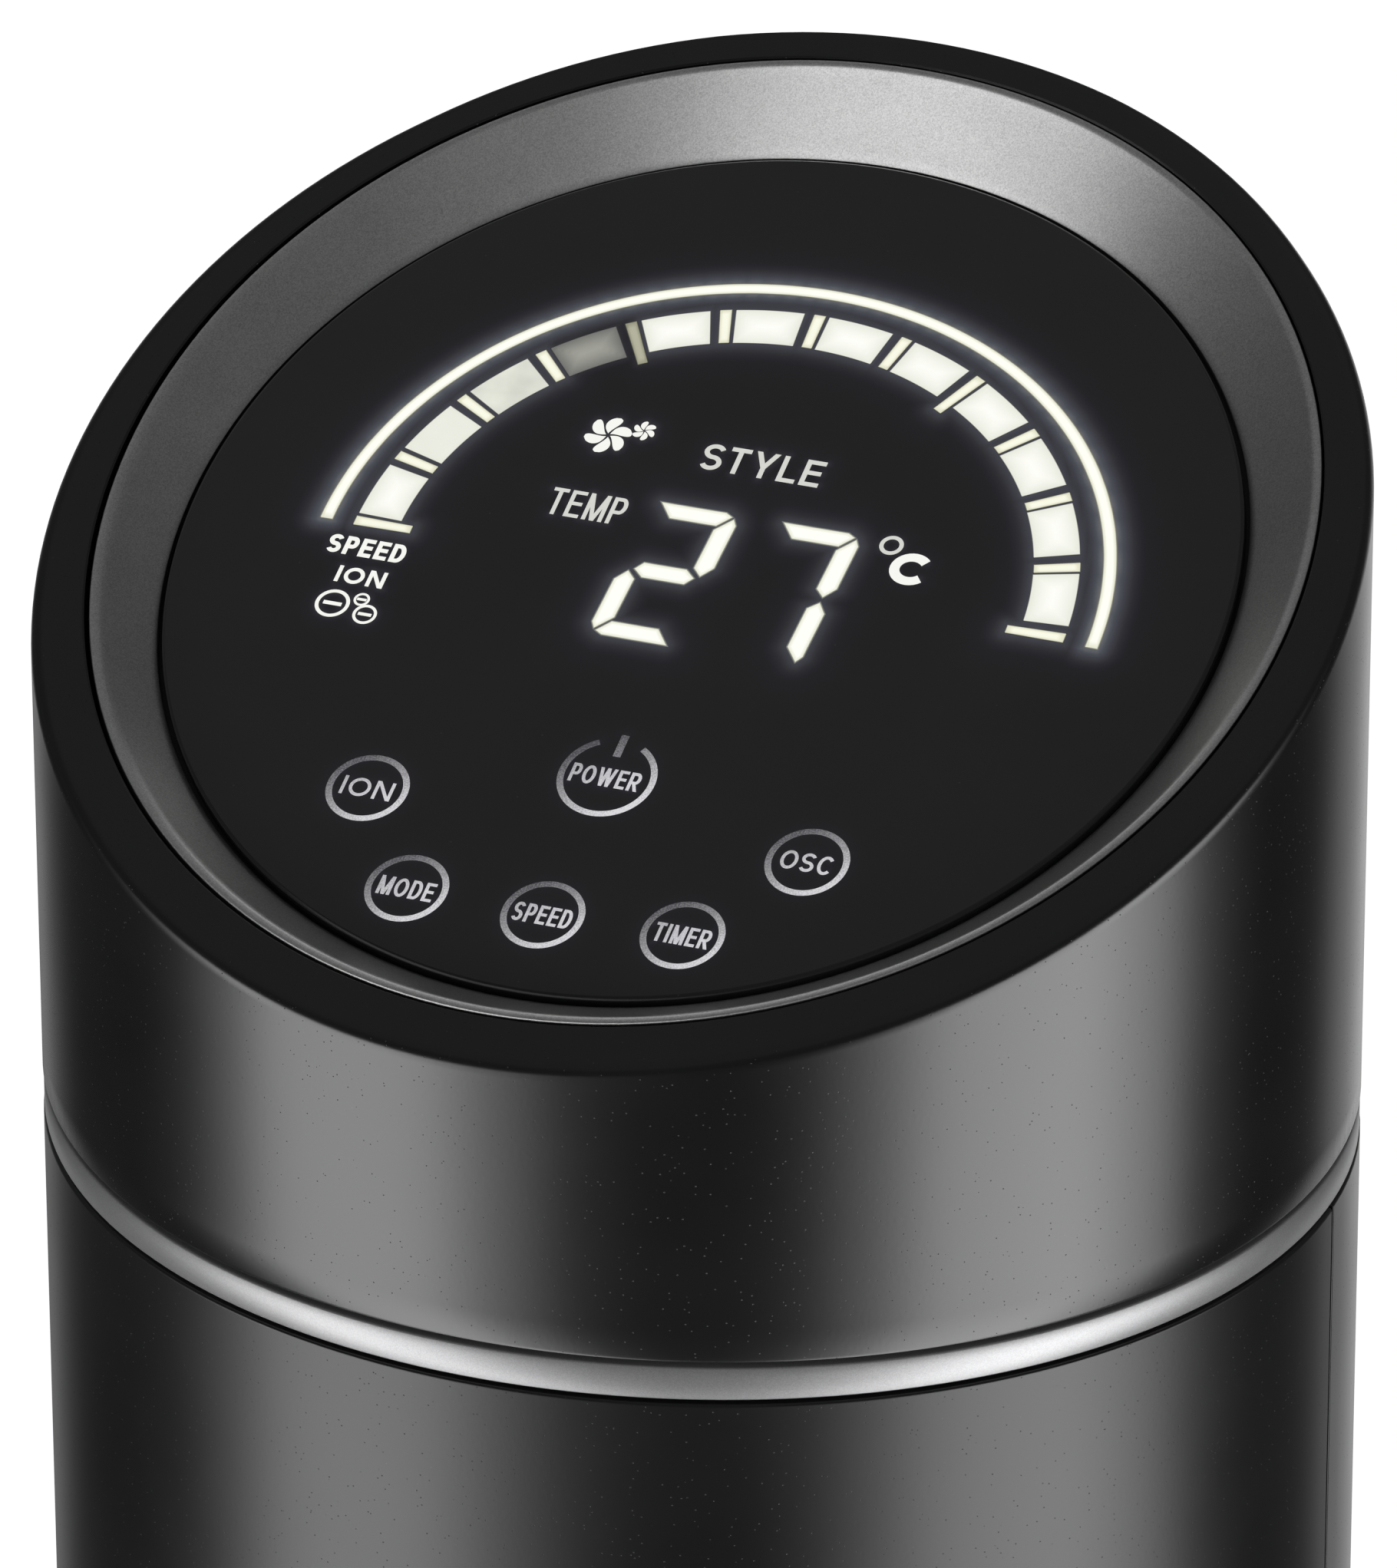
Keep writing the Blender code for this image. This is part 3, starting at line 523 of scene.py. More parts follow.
SATIN = satin_plastic("satin_black", (0.0030, 0.0030, 0.0032), (0.0055, 0.0055, 0.0058), 0.24, 0.62)
BODY = satin_plastic("satin_black_body", (0.0045, 0.0045, 0.0047), (0.0075, 0.0075, 0.0078), 0.29, 0.46)
MATT = satin_plastic("matt_black", (0.012, 0.012, 0.012), (0.020, 0.020, 0.021), 0.60)
GREY = satin_plastic("grey_plastic", (0.14, 0.14, 0.145), (0.20, 0.20, 0.21), 0.50)
WHITE = satin_plastic("white_plastic", (0.66, 0.66, 0.63), (0.78, 0.78, 0.75), 0.42)
RING = flake_metal("graphite_metallic", (0.29, 0.29, 0.29), (0.52, 0.52, 0.52), 0.31)
BAND = flake_metal("silver_band", (0.28, 0.28, 0.285), (0.37, 0.37, 0.375), 0.40, 0.65)
STEEL = brushed_steel("steel", (0.38, 0.39, 0.40), (0.62, 0.63, 0.65), 0.34)
BRONZE = brushed_steel("bronze", (0.34, 0.19, 0.08), (0.60, 0.38, 0.19), 0.40)
LAMINATED = laminated_steel()
RUBBER = rubber()
BOARD = circuit_board()
PANEL = gloss_panel()
HALO = (0.11, 0.115, 0.125)  # where the brightest shapes fade into the panel's glow
LIT = lit("display_light", (0.80, 0.81, 0.72), (1.0, 1.0, 0.95))
LIT_FIGURE = lit("display_figure", (0.80, 0.81, 0.66), (1.0, 1.0, 0.94), HALO)
LIT_LINE = lit("display_line", (0.78, 0.78, 0.62), (1.0, 1.0, 0.92), HALO)
LIT_TICK = lit("display_tick", (0.74, 0.74, 0.56), (0.95, 0.95, 0.80))
LIT_DIM = lit("display_dim", (0.16, 0.16, 0.15), (0.36, 0.36, 0.32))
LIT_TICK_DIM = lit("display_tick_dim", (0.30, 0.30, 0.21), (0.45, 0.44, 0.33))
LIT_LABEL = lit("display_label", (0.42, 0.42, 0.39), (0.66, 0.66, 0.62))
LIT_SIGN = lit("display_sign", (0.66, 0.66, 0.60), (0.92, 0.92, 0.87))
# the silver print's materials, with a painted highlight towards each piece's lower right
RING_PRINT_PAINTED_HIGHLIGHT = print_with_painted_highlight("silver_print_painted_highlight", (0.075, 0.073, 0.082), (0.31, 0.305, 0.32), (0.76, 0.75, 0.78))
WORD_PRINT_PAINTED_HIGHLIGHT = print_with_painted_highlight("silver_words_painted_highlight", (0.34, 0.335, 0.35), (0.60, 0.59, 0.62), (0.78, 0.77, 0.80))

# What the CAD nodes are made of, by how their names start
MADE_OF = [
    (SATIN, "base_cover column_foot head_cap"),
    (BODY, "front_shell rear_shell outlet_grille"),
    (MATT, "base_plate impeller_end_cap impeller_section duct_scroll duct_tongue top_deck panel_carrier"),
    (STEEL, "ballast_ring swing_motor pinion_shaft motor_rotor impeller_top_pin retaining_washer"),
    (STEEL, "motor_lower_bracket motor_upper_bracket base_screw rear_screw touch_spring"),
    (WHITE, "turntable_bush pinion sector_gear temp_sensor light_guide"),
    (GREY, "drive_hub run_capacitor motor_mount_plate top_bearing_plate ion_generator"),
    (RUBBER, "cord_gland bearing_boot wire_loom foot"),
    (BOARD, "power_board display_board"),
    (LAMINATED, "motor_stator"),
    (BRONZE, "bearing_sleeve"),
    (BAND, "accent_band"),
    (RING, "trim_ring"),
    (PANEL, "touch_panel"),
]


def finish_cad_nodes():
    for name, node in frame["nodes"].items():
        material = next(m for m, starts in MADE_OF if name.startswith(tuple(starts.split())))
        node.data.materials.clear()
        node.data.materials.append(material)


# ----- head


def plane_matrix(depth=0.0, x=0.0, y=0.0):
    """From the control plane's own axes (x, up-slope y, outward z) to the frame's."""
    local = Matrix.Translation((x, y, -depth))
    return Matrix.Translation((0, 0, PLANE_HEIGHT)) @ Matrix.Rotation(PLANE_TILT, 4, "X") @ local


def sliced(distance, depth):
    """Where the column's outline, drawn in, meets a plane below the control plane."""
    level = PLANE_HEIGHT - depth / math.cos(PLANE_TILT)
    return [Vector((p.x, p.y, level + p.y * math.tan(PLANE_TILT))) for p in inset(distance, 0.0)]


def plane_oval(halves, depth, shift=0.0):
    return [plane_matrix() @ point for point in oval(halves[0], halves[1], -depth, centre=(0, shift))]


def head_cap():
    """The oval head, with a rounded rim that is a little sharper at the back."""
    corner = sliced(0.0, 0.0)
    below, inside = [], []
    upward = Vector((0, -math.sin(PLANE_TILT), math.cos(PLANE_TILT)))
    for p in corner:
        out = Vector((p.x / HALF_WIDTH**2, p.y / HALF_DEPTH**2, 0)).normalized()
        back = min(1.0, max(0.0, p.y / HALF_DEPTH - 0.7) * 4)
        reach = RIM_RADIUS * (math.tan(math.acos(upward.dot(out)) / 2) - 0.55 * back)
        below.append(Vector((p.x, p.y, p.z - reach)))
        inside.append(p - (out - upward * upward.dot(out)).normalized() * reach)
    rings = [inset(0.0006, HEAD_BOTTOM), inset(0.0002, HEAD_BOTTOM + 0.0001)]
    rings += [inset(0.0, HEAD_BOTTOM + 0.0005), inset(0.0, HEAD_BOTTOM + 0.004)]
    for share in spaced(0.0, 1.0, 12):
        rest = 1 - share
        rounded = zip(below, corner, inside)
        rings.append([a * rest**2 + b * (2 * share * rest) + c * share**2 for a, b, c in rounded])
    lip = 0.0002
    rings.append(plane_oval((RING_OUTER[0] + lip, RING_OUTER[1] + lip), 0.0, RING_SHIFT))
    rings.append(plane_oval(RING_OUTER, lip, RING_SHIFT))
    rings += [plane_oval(RING_OUTER, RECESS_DEPTH), sliced(WALL, RECESS_DEPTH + 0.0005)]
    rings += [inset(WALL, CEILING + 0.0005), inset(BAND_INSIDE, CEILING), inset(BAND_INSIDE, HEAD_BOTTOM)]
    fine("head_cap", skin(rings), SATIN, "column", 30)


def trim_ring():
    """The dished metallic ring: a rounded edge, a narrow level strip and a long slope down to the panel."""
    seat = (0.0001, RING_SHIFT + 0.0001)
    outer = (RING_OUTER[0] - 0.0004, RING_OUTER[1] - 0.0002)
    profile = [(0.0, 0.0014), (0.0, 0.00045), (0.00003, 0.00032), (0.0001, 0.00022), (0.0002, 0.00018)]
    profile += [(0.0006, 0.00022), (0.0009, 0.00028), (0.0011, 0.00036), (0.0013, 0.00047)]
    rings = [oval(outer[0] - drawn, outer[1] - drawn, -depth, centre=seat) for drawn, depth in profile]
    drawn, top = profile[-1]
    for share in spaced(0.0, 1.0, 10)[1:]:
        halves = [a - drawn + (b - a + drawn) * share for a, b in zip(outer, DISH_INNER)]
        centre = (seat[0] * (1 - share), seat[1] + (DISH_SHIFT - seat[1]) * share)
        rings.append(oval(halves[0], halves[1], -(top + (DISH_DEPTH - top) * share), centre=centre))
    edge = (DISH_INNER[0] - 0.0001, DISH_INNER[1] - 0.0001)
    rings.append(oval(edge[0], edge[1], -DISH_DEPTH - 0.0001, centre=(0, DISH_SHIFT)))
    rings.append(oval(edge[0], edge[1], -0.0060, centre=(0, DISH_SHIFT)))
    rings.append(oval(outer[0], outer[1], -0.0030, centre=(0, RING_SHIFT * 2 / 3)))
    return fine("trim_ring", skin(rings), RING, "column", 40, plane_matrix())


def accent_band():
    back = 0.0001
    edge = 0.0002
    rings = [inset(back + edge, BAND_BOTTOM), inset(back, BAND_BOTTOM + edge), inset(back, BAND_TOP - edge)]
    rings += [inset(back + edge, BAND_TOP), inset(BAND_INSIDE, BAND_TOP), inset(BAND_INSIDE, BAND_BOTTOM)]
    fine("accent_band", skin(rings), BAND, "column", 60)


# ----- display


class Flat:
    """Thin closed shapes on the panel's face, gathered into one piece. Millimetres on the control plane."""

    THICK = 0.03
    UNDER = 0.005

    def __init__(self, centre=(0.0, 0.0)):
        self.centre = centre
        self.points = []
        self.faces = []
        self.levels = []
        self.glow = []

    def _pair(self, x, y, level=1.0):
        """A point on top and the one under it, given by the first one's index."""
        for z in (self.THICK, self.UNDER):
            self.points.append(Vector(((x - self.centre[0]) * MM, (y - self.centre[1]) * MM, z * MM)))
            self.levels.append(level)
        return len(self.points) - 2

    def _top(self, loop):
        self.faces.append(tuple(loop))
        self.faces.append(tuple(index + 1 for index in reversed(loop)))

    def _wall(self, loop):
        for p, q in zip(loop, loop[1:] + loop[:1]):
            self.faces.append((q, p, p + 1, q + 1))

    def patch(self, place, wide, tall, across, along, soft, reach, peak):
        """A lit patch, place(a, b) in mm along its two sides, that fades over a soft border."""
        columns = [-soft] + spaced(0.0, wide, across) + [wide + soft]
        rows = [-soft] + spaced(0.0, tall, along) + [tall + soft]
        grid = []
        for b in rows:
            line = []
            for a in columns:
                depth = min(a, wide - a, b, tall - b)
                level = -1.0 if depth < 0 else min(peak, math.sin(min(1.0, depth / reach) * math.pi / 2))
                x, y = place(a, b)
                line.append(self._pair(x, y, level))
                if depth >= 0:
                    self.glow.append((x, y))
            grid.append(line)
        for low, high in zip(grid, grid[1:]):
            for k in range(len(columns) - 1):
                self._top([low[k], low[k + 1], high[k + 1], high[k]])
        border = grid[0] + [line[-1] for line in grid[1:]]
        self._wall(border + grid[-1][-2::-1] + [line[0] for line in grid[-2:0:-1]])

    def outline(self, outline, soft=0.0, reach=0.5):
        """A flat shape from its outline, anticlockwise, with or without a soft border."""
        if soft:
            layers = [(offset(outline, soft), -1.0), (outline, 0.0), (offset(outline, -reach), 1.0)]
        else:
            layers = [(outline, 1.0)]
        loops = [[self._pair(x, y, level) for x, y in shape] for shape, level in layers]
        for outside, inside in zip(loops, loops[1:]):
            for k in range(len(outside)):
                after = (k + 1) % len(outside)
                self._top([outside[k], outside[after], inside[after], inside[k]])
        self._top(loops[-1])
        self._wall(loops[0])
        for (x0, y0), (x1, y1) in zip(outline, outline[1:] + outline[:1]):
            steps = max(1, int(math.hypot(x1 - x0, y1 - y0) / 0.4))
            self.glow += [(x0 + (x1 - x0) * k / steps, y0 + (y1 - y0) * k / steps) for k in range(steps)]

    def ribbon(self, path, width, closed=False, capped=True):
        """A line of even width with mitred corners. Square caps carry its ends half a width further."""
        path = [Vector(point) for point in path]
        if capped and not closed:
            first = (path[0] - path[1]).normalized() * width / 2
            last = (path[-1] - path[-2]).normalized() * width / 2
            path = [path[0] + first] + path[1:-1] + [path[-1] + last]
        sides = []
        count = len(path)
        for k, point in enumerate(path):
            before = point - path[k - 1] if closed or k else path[1] - path[0]
            after = path[(k + 1) % count] - point if closed or k < count - 1 else before
            half = mitre(before, after) * width / 2
            sides.append((self._pair(*(point - half)), self._pair(*(point + half))))
            self.glow.append((point.x, point.y))
        pairs = list(zip(sides, sides[1:] + sides[:1]))
        for (left, right), (next_left, next_right) in pairs if closed else pairs[:-1]:
            self._top([left, right, next_right, next_left])
        lefts, rights = ([side[k] for side in sides] for k in (0, 1))
        for loop in (lefts, rights[::-1]) if closed else (lefts + rights[::-1],):
            self._wall(loop)

    def ring(self, x, y, outer, inner, start=0.0, end=360.0, count=96):
        """A whole ring, or an arc of one with straight ends."""
        whole = end - start >= 360.0
        path = arc(x, y, (outer + inner) / 2, (outer + inner) / 2, start, end, count)
        self.ribbon(path[:-1] if whole else path, outer - inner, closed=whole, capped=False)

    def text(self, words, left, right, low, high, stroke):
        """Words in a plain line alphabet, fitted to a box."""
        tall = high - low
        widths = [GLYPHS[letter][0] for letter in words]
        gap = 0.17
        share = (right - left - stroke * words.count("I")) / (sum(widths) + gap * (len(words) - 1))
        x = left
        for letter, width in zip(words, widths):
            wide = width * share + (stroke if letter == "I" else 0.0)
            for kind, points in GLYPHS[letter][1]:
                if kind == "slant":
                    self._slant(points, (x, low), (wide, tall), stroke)
                    continue
                near, foot = x + stroke / 2, low + stroke / 2
                path = [(near + gx * (wide - stroke), foot + gy * (tall - stroke)) for gx, gy in points]
                self.ribbon(path, stroke, closed=kind == "loop", capped=kind == "line")
            x += wide + gap * share

    def _slant(self, points, corner, size, stroke):
        """A slanted stroke that is cut off level at both ends."""
        (x0, y0), (x1, y1) = points
        run = (x1 - x0) * (size[0] - stroke)
        rise = (y1 - y0) * size[1]
        half = stroke / 2 * math.hypot(run, rise) / abs(rise)
        left, wide = corner[0] + half, size[0] - 2 * half
        (xa, ya), (xb, yb) = ((left + gx * wide, corner[1] + gy * size[1]) for gx, gy in points)
        shape = [(xa - half, ya), (xa + half, ya), (xb + half, yb), (xb - half, yb)]
        self.outline(shape if ya < yb else shape[::-1])

    def build(self, name, material):
        matrix = plane_matrix(PANEL_DEPTH, self.centre[0] * MM, self.centre[1] * MM)
        obj = piece(name, (self.points, self.faces), material, "column", matrix=matrix)
        store(obj, "lit", self.levels)


def mitre(before, after):
    """How far a corner between two edges moves when both move 1 to their right."""
    one = Vector((before.y, -before.x)).normalized()
    two = Vector((after.y, -after.x)).normalized()
    return (one + two) / (1 + one.dot(two))


def offset(outline, distance):
    """An anticlockwise outline moved out by a distance, or in by a negative one."""
    corners = [Vector(point) for point in outline]
    moved = []
    for k, point in enumerate(corners):
        after = corners[(k + 1) % len(corners)] - point
        moved.append(tuple(point + mitre(point - corners[k - 1], after) * distance))
    return moved


def arc(x, y, half_x, half_y, start, end, count=24):
    angles = map(math.radians, spaced(start, end, count))
    return [(x + half_x * math.cos(t), y + half_y * math.sin(t)) for t in angles]


# Each capital letter: its width for a height of 1, and its strokes in a box of 1 by 1
ZIGZAG = [(0, 1), (0.27, 0), (0.5, 1), (0.73, 0), (1, 1)]
BOWL = [(0, 0), (0, 1)] + arc(0.6, 0.72, 0.4, 0.28, 90, -90, 12) + [(0, 0.44)]
POST, END = ("line", [(0, 0), (0, 1)]), ("line", [(1, 0), (1, 1)])
GLYPHS = {
    "C": (0.84, [("arc", arc(0.5, 0.5, 0.5, 0.5, 42, 318))]),
    "D": (0.78, [("loop", [(0, 0)] + arc(0.45, 0.5, 0.55, 0.5, -90, 90) + [(0, 1)])]),
    "E": (0.70, [("line", [(1, 1), (0, 1), (0, 0), (1, 0)]), ("line", [(0, 0.52), (0.9, 0.52)])]),
    "I": (0.0, [("line", [(0.5, 0), (0.5, 1)])]),
    "L": (0.66, [("line", [(0, 1), (0, 0), (1, 0)])]),
    "M": (0.96, [POST, END, ("slant", [(0, 1), (0.5, 0)]), ("slant", [(0.5, 0), (1, 1)])]),
    "N": (0.78, [POST, END, ("slant", [(0, 1), (1, 0)])]),
    "O": (0.92, [("loop", arc(0.5, 0.5, 0.5, 0.5, 0, 345, 23))]),
    "P": (0.72, [("line", BOWL)]),
    "R": (0.80, [("line", BOWL), ("slant", [(1, 0), (0.45, 0.46)])]),
    "S": (0.76, [("arc", arc(0.5, 0.75, 0.5, 0.25, 25, 270) + arc(0.5, 0.25, 0.5, 0.25, 90, -155)[1:])]),
    "T": (0.72, [("line", [(0, 1), (1, 1)]), ("line", [(0.5, 0), (0.5, 1)])]),
    "W": (1.26, [("slant", list(ends)) for ends in zip(ZIGZAG, ZIGZAG[1:])]),
    "Y": (0.86, [("line", [(0.5, 0), (0.5, 0.46)])] + [("slant", [(0.5, 0.40), (x, 1)]) for x in (0, 1)]),
}

DIAL = (1.26, -3.3)
DIAL_SQUASH = 0.954
DIAL_LEAN = -0.0136


def dial(radius, degrees):
    """A place on the speed dial, which is a little wider than tall and leans slightly."""
    x, y = radius * math.cos(math.radians(degrees)), radius * math.sin(math.radians(degrees))
    return DIAL[0] + x + DIAL_LEAN * y, DIAL[1] + DIAL_SQUASH * y


def dial_patch(flat, inner, outer, start, end, across, along, soft, reach, peak=1.0):
    """A patch of the dial between two radii and two angles, the first angle the larger."""
    wide = math.radians(start - end) * (inner + outer) / 2
    tall = outer - inner

    def place(a, b):
        return dial(inner + b, start + (end - start) * a / wide)

    flat.patch(place, wide, tall, across, along, soft, reach, peak)


def seven_segment(flat, left, lit_segments):
    """A slanted seven-segment figure. Segments a to e go clockwise from the top, and g is in the middle."""
    wide, top, low, slant = 10.3, 6.6, -13.2, 0.04

    def turned(shape):
        return [(wide - x, top + low - y) for x, y in shape]

    def mirrored(shape):
        return [(x, top + low - y) for x, y in reversed(shape)]

    bar = [(1.0, top), (2.65, top - 1.95), (wide - 2.15, top - 1.95)]
    bar += [(wide - 0.9, top - 0.45), (wide - 1.7, top)]
    post = [(wide - 0.5, 5.8), (wide - 2.1, 3.95), (wide - 2.1, -1.8)]
    post += [(wide - 1.05, -2.8), (wide, -1.4), (wide, 5.0)]
    middle = [(1.7, -3.3), (2.9, -4.3), (7.9, -4.3), (wide - 1.7, -3.3), (7.4, -2.3), (2.4, -2.3)]
    shapes = {"a": bar, "b": post, "c": mirrored(post), "d": turned(bar), "e": turned(post), "g": middle}
    for name in lit_segments:
        places = [(left + x + (y - top) * slant, y) for x, y in shapes[name]]
        flat.outline(places, soft=0.22, reach=0.42)


def fan_icon(flat, x, y, radius, turn):
    """A plain fan symbol: round-headed petals that lean clockwise as they leave the middle."""
    petals = 6
    start, widest = 0.10, 0.68
    for k in range(petals):
        centre = math.radians(turn) + 2 * math.pi * k / petals
        sides = ([], [])
        for share in spaced(start, 1.0, 16):
            if share < widest:
                half = math.sin(math.pi / 2 * (share - start) / (widest - start)) ** 1.15
            else:
                half = math.sqrt(max(0.0, 1 - ((share - widest) / (1 - widest)) ** 2))
            half *= 1.62 / petals
            lean = centre - 0.60 * (share - 0.6)
            for side, sign in zip(sides, (-1, 1)):
                px = share * math.cos(lean) - sign * half * math.sin(lean)
                py = share * math.sin(lean) + sign * half * math.cos(lean)
                side.append((x + radius * px, y + radius * py))
        flat.outline(sides[0] + sides[1][-2:0:-1])


def ion_bubble(flat, x, y, radius, line):
    flat.ring(x, y, radius, radius - line, count=48)
    flat.ribbon([(x - radius * 0.42, y), (x + radius * 0.42, y)], line * 1.2)


def display():
    """All that is lit on the panel. Returns what shines, and how strongly and how far (mm) it glows."""
    line = Flat()
    dial_patch(line, 44.95, 46.25, 180.2, -0.3, 150, 4, 0.22, 0.4)
    line.build("display_arc", LIT_LINE)

    segments, dim = Flat(), Flat()
    for k in range(12):
        centre = 172.7 - 14.93 * k
        target = dim if k == 3 else segments
        peak = {1: 0.12, 2: -0.08}.get(k, 1.0)
        dial_patch(target, 37.05, 42.15, centre + 5.4, centre - 5.3, 12, 8, 0.12, 3.4, peak)
    segments.build("display_segments", LIT)
    dim.build("display_segment_dim", LIT_DIM)

    ticks, dim_tick = Flat(), Flat()
    for k in range(13):
        turn = 180.0 - 14.97 * k
        inner = 35.5 if k % 4 == 0 else 37.1
        target = dim_tick if k == 4 else ticks
        half = math.degrees(0.58 / 39.5)
        if k % 12 == 0:  # the end ticks stand a little closer in
            turn += half * (0.3 if k else -0.3)
        dial_patch(target, inner, 42.2, turn + half, turn - half, 4, 8, 0.14, 0.4)
    ticks.build("display_ticks", LIT_TICK)
    dim_tick.build("display_tick_dim", LIT_TICK_DIM)

    figures = Flat()
    seven_segment(figures, -8.45, "abged")
    seven_segment(figures, 6.15, "abc")
    figures.build("display_figures", LIT_FIGURE)

    labels = Flat()
    labels.text("STYLE", -5.45, 8.9, 12.35, 16.15, 0.58)
    labels.text("TEMP", -20.25, -11.15, 2.4, 6.3, 0.48)
    labels.ring(20.05, 6.0, 1.38, 0.90, count=40)
    labels.build("display_labels", LIT_LABEL)

    icons = Flat()
    icons.text("SPEED", -42.8, -33.5, -8.15, -5.5, 0.54)
    icons.text("ION", -40.2, -34.4, -12.15, -9.8, 0.46)
    icons.text("C", 20.9, 25.8, 0.8, 5.4, 1.15)
    fan_icon(icons, -17.1, 14.9, 2.75, 30.0)
    fan_icon(icons, -13.25, 16.35, 1.4, 50.0)
    for bubble in ((-39.1, -15.3, 2.0, 0.42), (-36.0, -14.1, 0.93, 0.28), (-34.9, -16.1, 1.4, 0.34)):
        ion_bubble(icons, *bubble)
    icons.build("display_signs", LIT_SIGN)

    middle = segments.glow + ticks.glow + figures.glow
    weak = labels.glow + icons.glow + dim.glow + dim_tick.glow
    return [(line.glow, 0.92, 1.9), (middle, 0.56, 2.2), (weak, 0.36, 1.1)]


BUTTONS = {
    "ION": ((-25.45, -39.9), (-3.0, 3.0)),
    "OSC": ((26.25, -39.45), (-3.05, 3.05)),
    "MODE": ((-16.0, -52.5), (-3.25, 3.25)),
    "SPEED": ((0.15, -52.8), (-3.4, 3.4)),
    "TIMER": ((16.3, -52.2), (-3.25, 3.25)),
    "POWER": ((0.3, -32.7), (-4.25, 3.9)),
}


def buttons():
    glow = []
    for word, ((x, y), (left, right)) in BUTTONS.items():
        rim, words = Flat((x, y)), Flat((x, y))
        if word == "POWER":
            rim.ring(x, y, 5.62, 4.88, 119.0, 421.0)
            rim.ribbon([(x, y + 3.0), (x, y + 6.1)], 0.88, capped=False)
        else:
            rim.ring(x, y, 4.72, 3.98)
        words.text(word, x + left, x + right, y - 1.35, y + 1.25, 0.38)
        rim.build("ring_" + word.lower(), RING_PRINT_PAINTED_HIGHLIGHT)
        words.build("word_" + word.lower(), WORD_PRINT_PAINTED_HIGHLIGHT)
        glow += rim.glow + words.glow
    return glow


def nearest(points):
    tree = KDTree(len(points))
    for k, (x, y) in enumerate(points):
        tree.insert((x, y, 0.0), k)
    tree.balance()
    return tree


def touch_panel(sources):
    """The black panel, on a fine mesh that holds how much the display's light spreads at each point."""
    sources = [(nearest(points), peak, reach) for points, peak, reach in sources]
    steps = 96

    def layer(gap, z, share=1.0):
        half_x, half_y = ((half - gap) * share for half in DISH_INNER)
        return oval(half_x, half_y, z, 384, (0, DISH_SHIFT))

    rings = [layer(0.0007, -PANEL_THICKNESS), layer(0.0007, -0.0004), layer(0.0008, -0.0002)]
    rings += [layer(0.0011, 0.0, k / steps) for k in range(steps, 0, -1)]
    shape = skin(rings, tube=False)
    obj = fine("touch_panel", shape, PANEL, "column", 30, plane_matrix(PANEL_DEPTH))
    levels = []
    for vertex in obj.data.vertices:
        spot = (vertex.co.x / MM, vertex.co.y / MM, 0.0)
        glows = [peak * math.exp(-tree.find(spot)[2] / reach) for tree, peak, reach in sources]
        levels.append(max(glows) if vertex.co.z > -0.0001 else 0.0)
    store(obj, "glow", levels)


# ----- column


def front_shell():
    left, right = 270 - WINDOW_HALF_ANGLE, 270 + WINDOW_HALF_ANGLE
    angles = spaced(180 - SEAM_ANGLE, left, 26) + spaced(left, right, 42)[1:]
    angles += spaced(right, 360 + SEAM_ANGLE, 26)[1:]
    heights = [SHELL_BOTTOM, WINDOW_BOTTOM, WINDOW_TOP, SHELL_TOP]

    def is_open(i, j):
        return j == 1 and left <= (angles[i] + angles[i + 1]) / 2 <= right

    shape = wall_grid(angles, heights, is_open, 0.0, WALL)
    shell = fine("front_shell", shape, BODY, "column")
    bevel(shell, 0.0004, 2)


def rear_shell():
    start = SEAM_ANGLE + math.degrees(GAP / HALF_WIDTH)
    plain = 8  # columns of wall beside the slots
    angles = spaced(start, INTAKE_FROM, plain)[:-1]
    angles += bars_and_slots(INTAKE_FROM, INTAKE_TO, INTAKE_SLOTS, 0.40)
    angles += spaced(INTAKE_TO, 180 - start, plain)[1:]
    heights = [SHELL_BOTTOM] + bars_and_slots(WINDOW_BOTTOM, WINDOW_TOP, INTAKE_ROWS, 0.14) + [SHELL_TOP]

    def is_open(i, j):
        in_slots = plain <= i < len(angles) - plain - 2 and (i - plain) % 2 == 1
        return in_slots and j % 2 == 0 and 0 < j < len(heights) - 2

    shape = wall_grid(angles, heights, is_open, 0.0, WALL)
    shell = fine("rear_shell", shape, BODY, "column")
    for x in SCREWS_X:
        rings = [upright_ring(x, y, SCREWS_Z, 0.0017, 24) for y in (0.055, 0.075)]
        carve(shell, *skin(rings, tube=False))
    bevel(shell, 0.0003, 1)


def upright_ring(x, y, z, radius, count=32):
    """A circle around a line that runs front to back."""
    return [Vector((x + radius * math.cos(t), y, z + radius * math.sin(t))) for t in turns(count)]


def rear_screws():
    """Two pan-head screws with a cross recess."""
    for number, x in enumerate(SCREWS_X, 1):
        profile = [(0.0014, 0.0580), (0.0014, 0.0705), (0.0030, 0.0705), (0.0030, 0.0712), (0.0026, 0.0717)]
        profile += [(0.0018, 0.0720), (0.0006, 0.0721)]
        rings = [upright_ring(x, y, SCREWS_Z, radius) for radius, y in profile]
        screw = fine(f"rear_screw_{number}", skin(rings, tube=False), STEEL, "column")
        for wide, tall in ((0.0032, 0.0007), (0.0007, 0.0032)):
            carve(screw, *block((x, 0.0719, SCREWS_Z), (wide, 0.0018, tall)))


def block(centre, size):
    (x, y, z), (w, d, h) = centre, size
    corners = [(sx, sy, sz) for sz in (-1, 1) for sy in (-1, 1) for sx in (-1, 1)]
    points = [Vector((x + sx * w / 2, y + sy * d / 2, z + sz * h / 2)) for sx, sy, sz in corners]
    faces = [(0, 1, 3, 2), (4, 6, 7, 5), (0, 4, 5, 1), (2, 3, 7, 6), (0, 2, 6, 4), (1, 5, 7, 3)]
    return points, faces


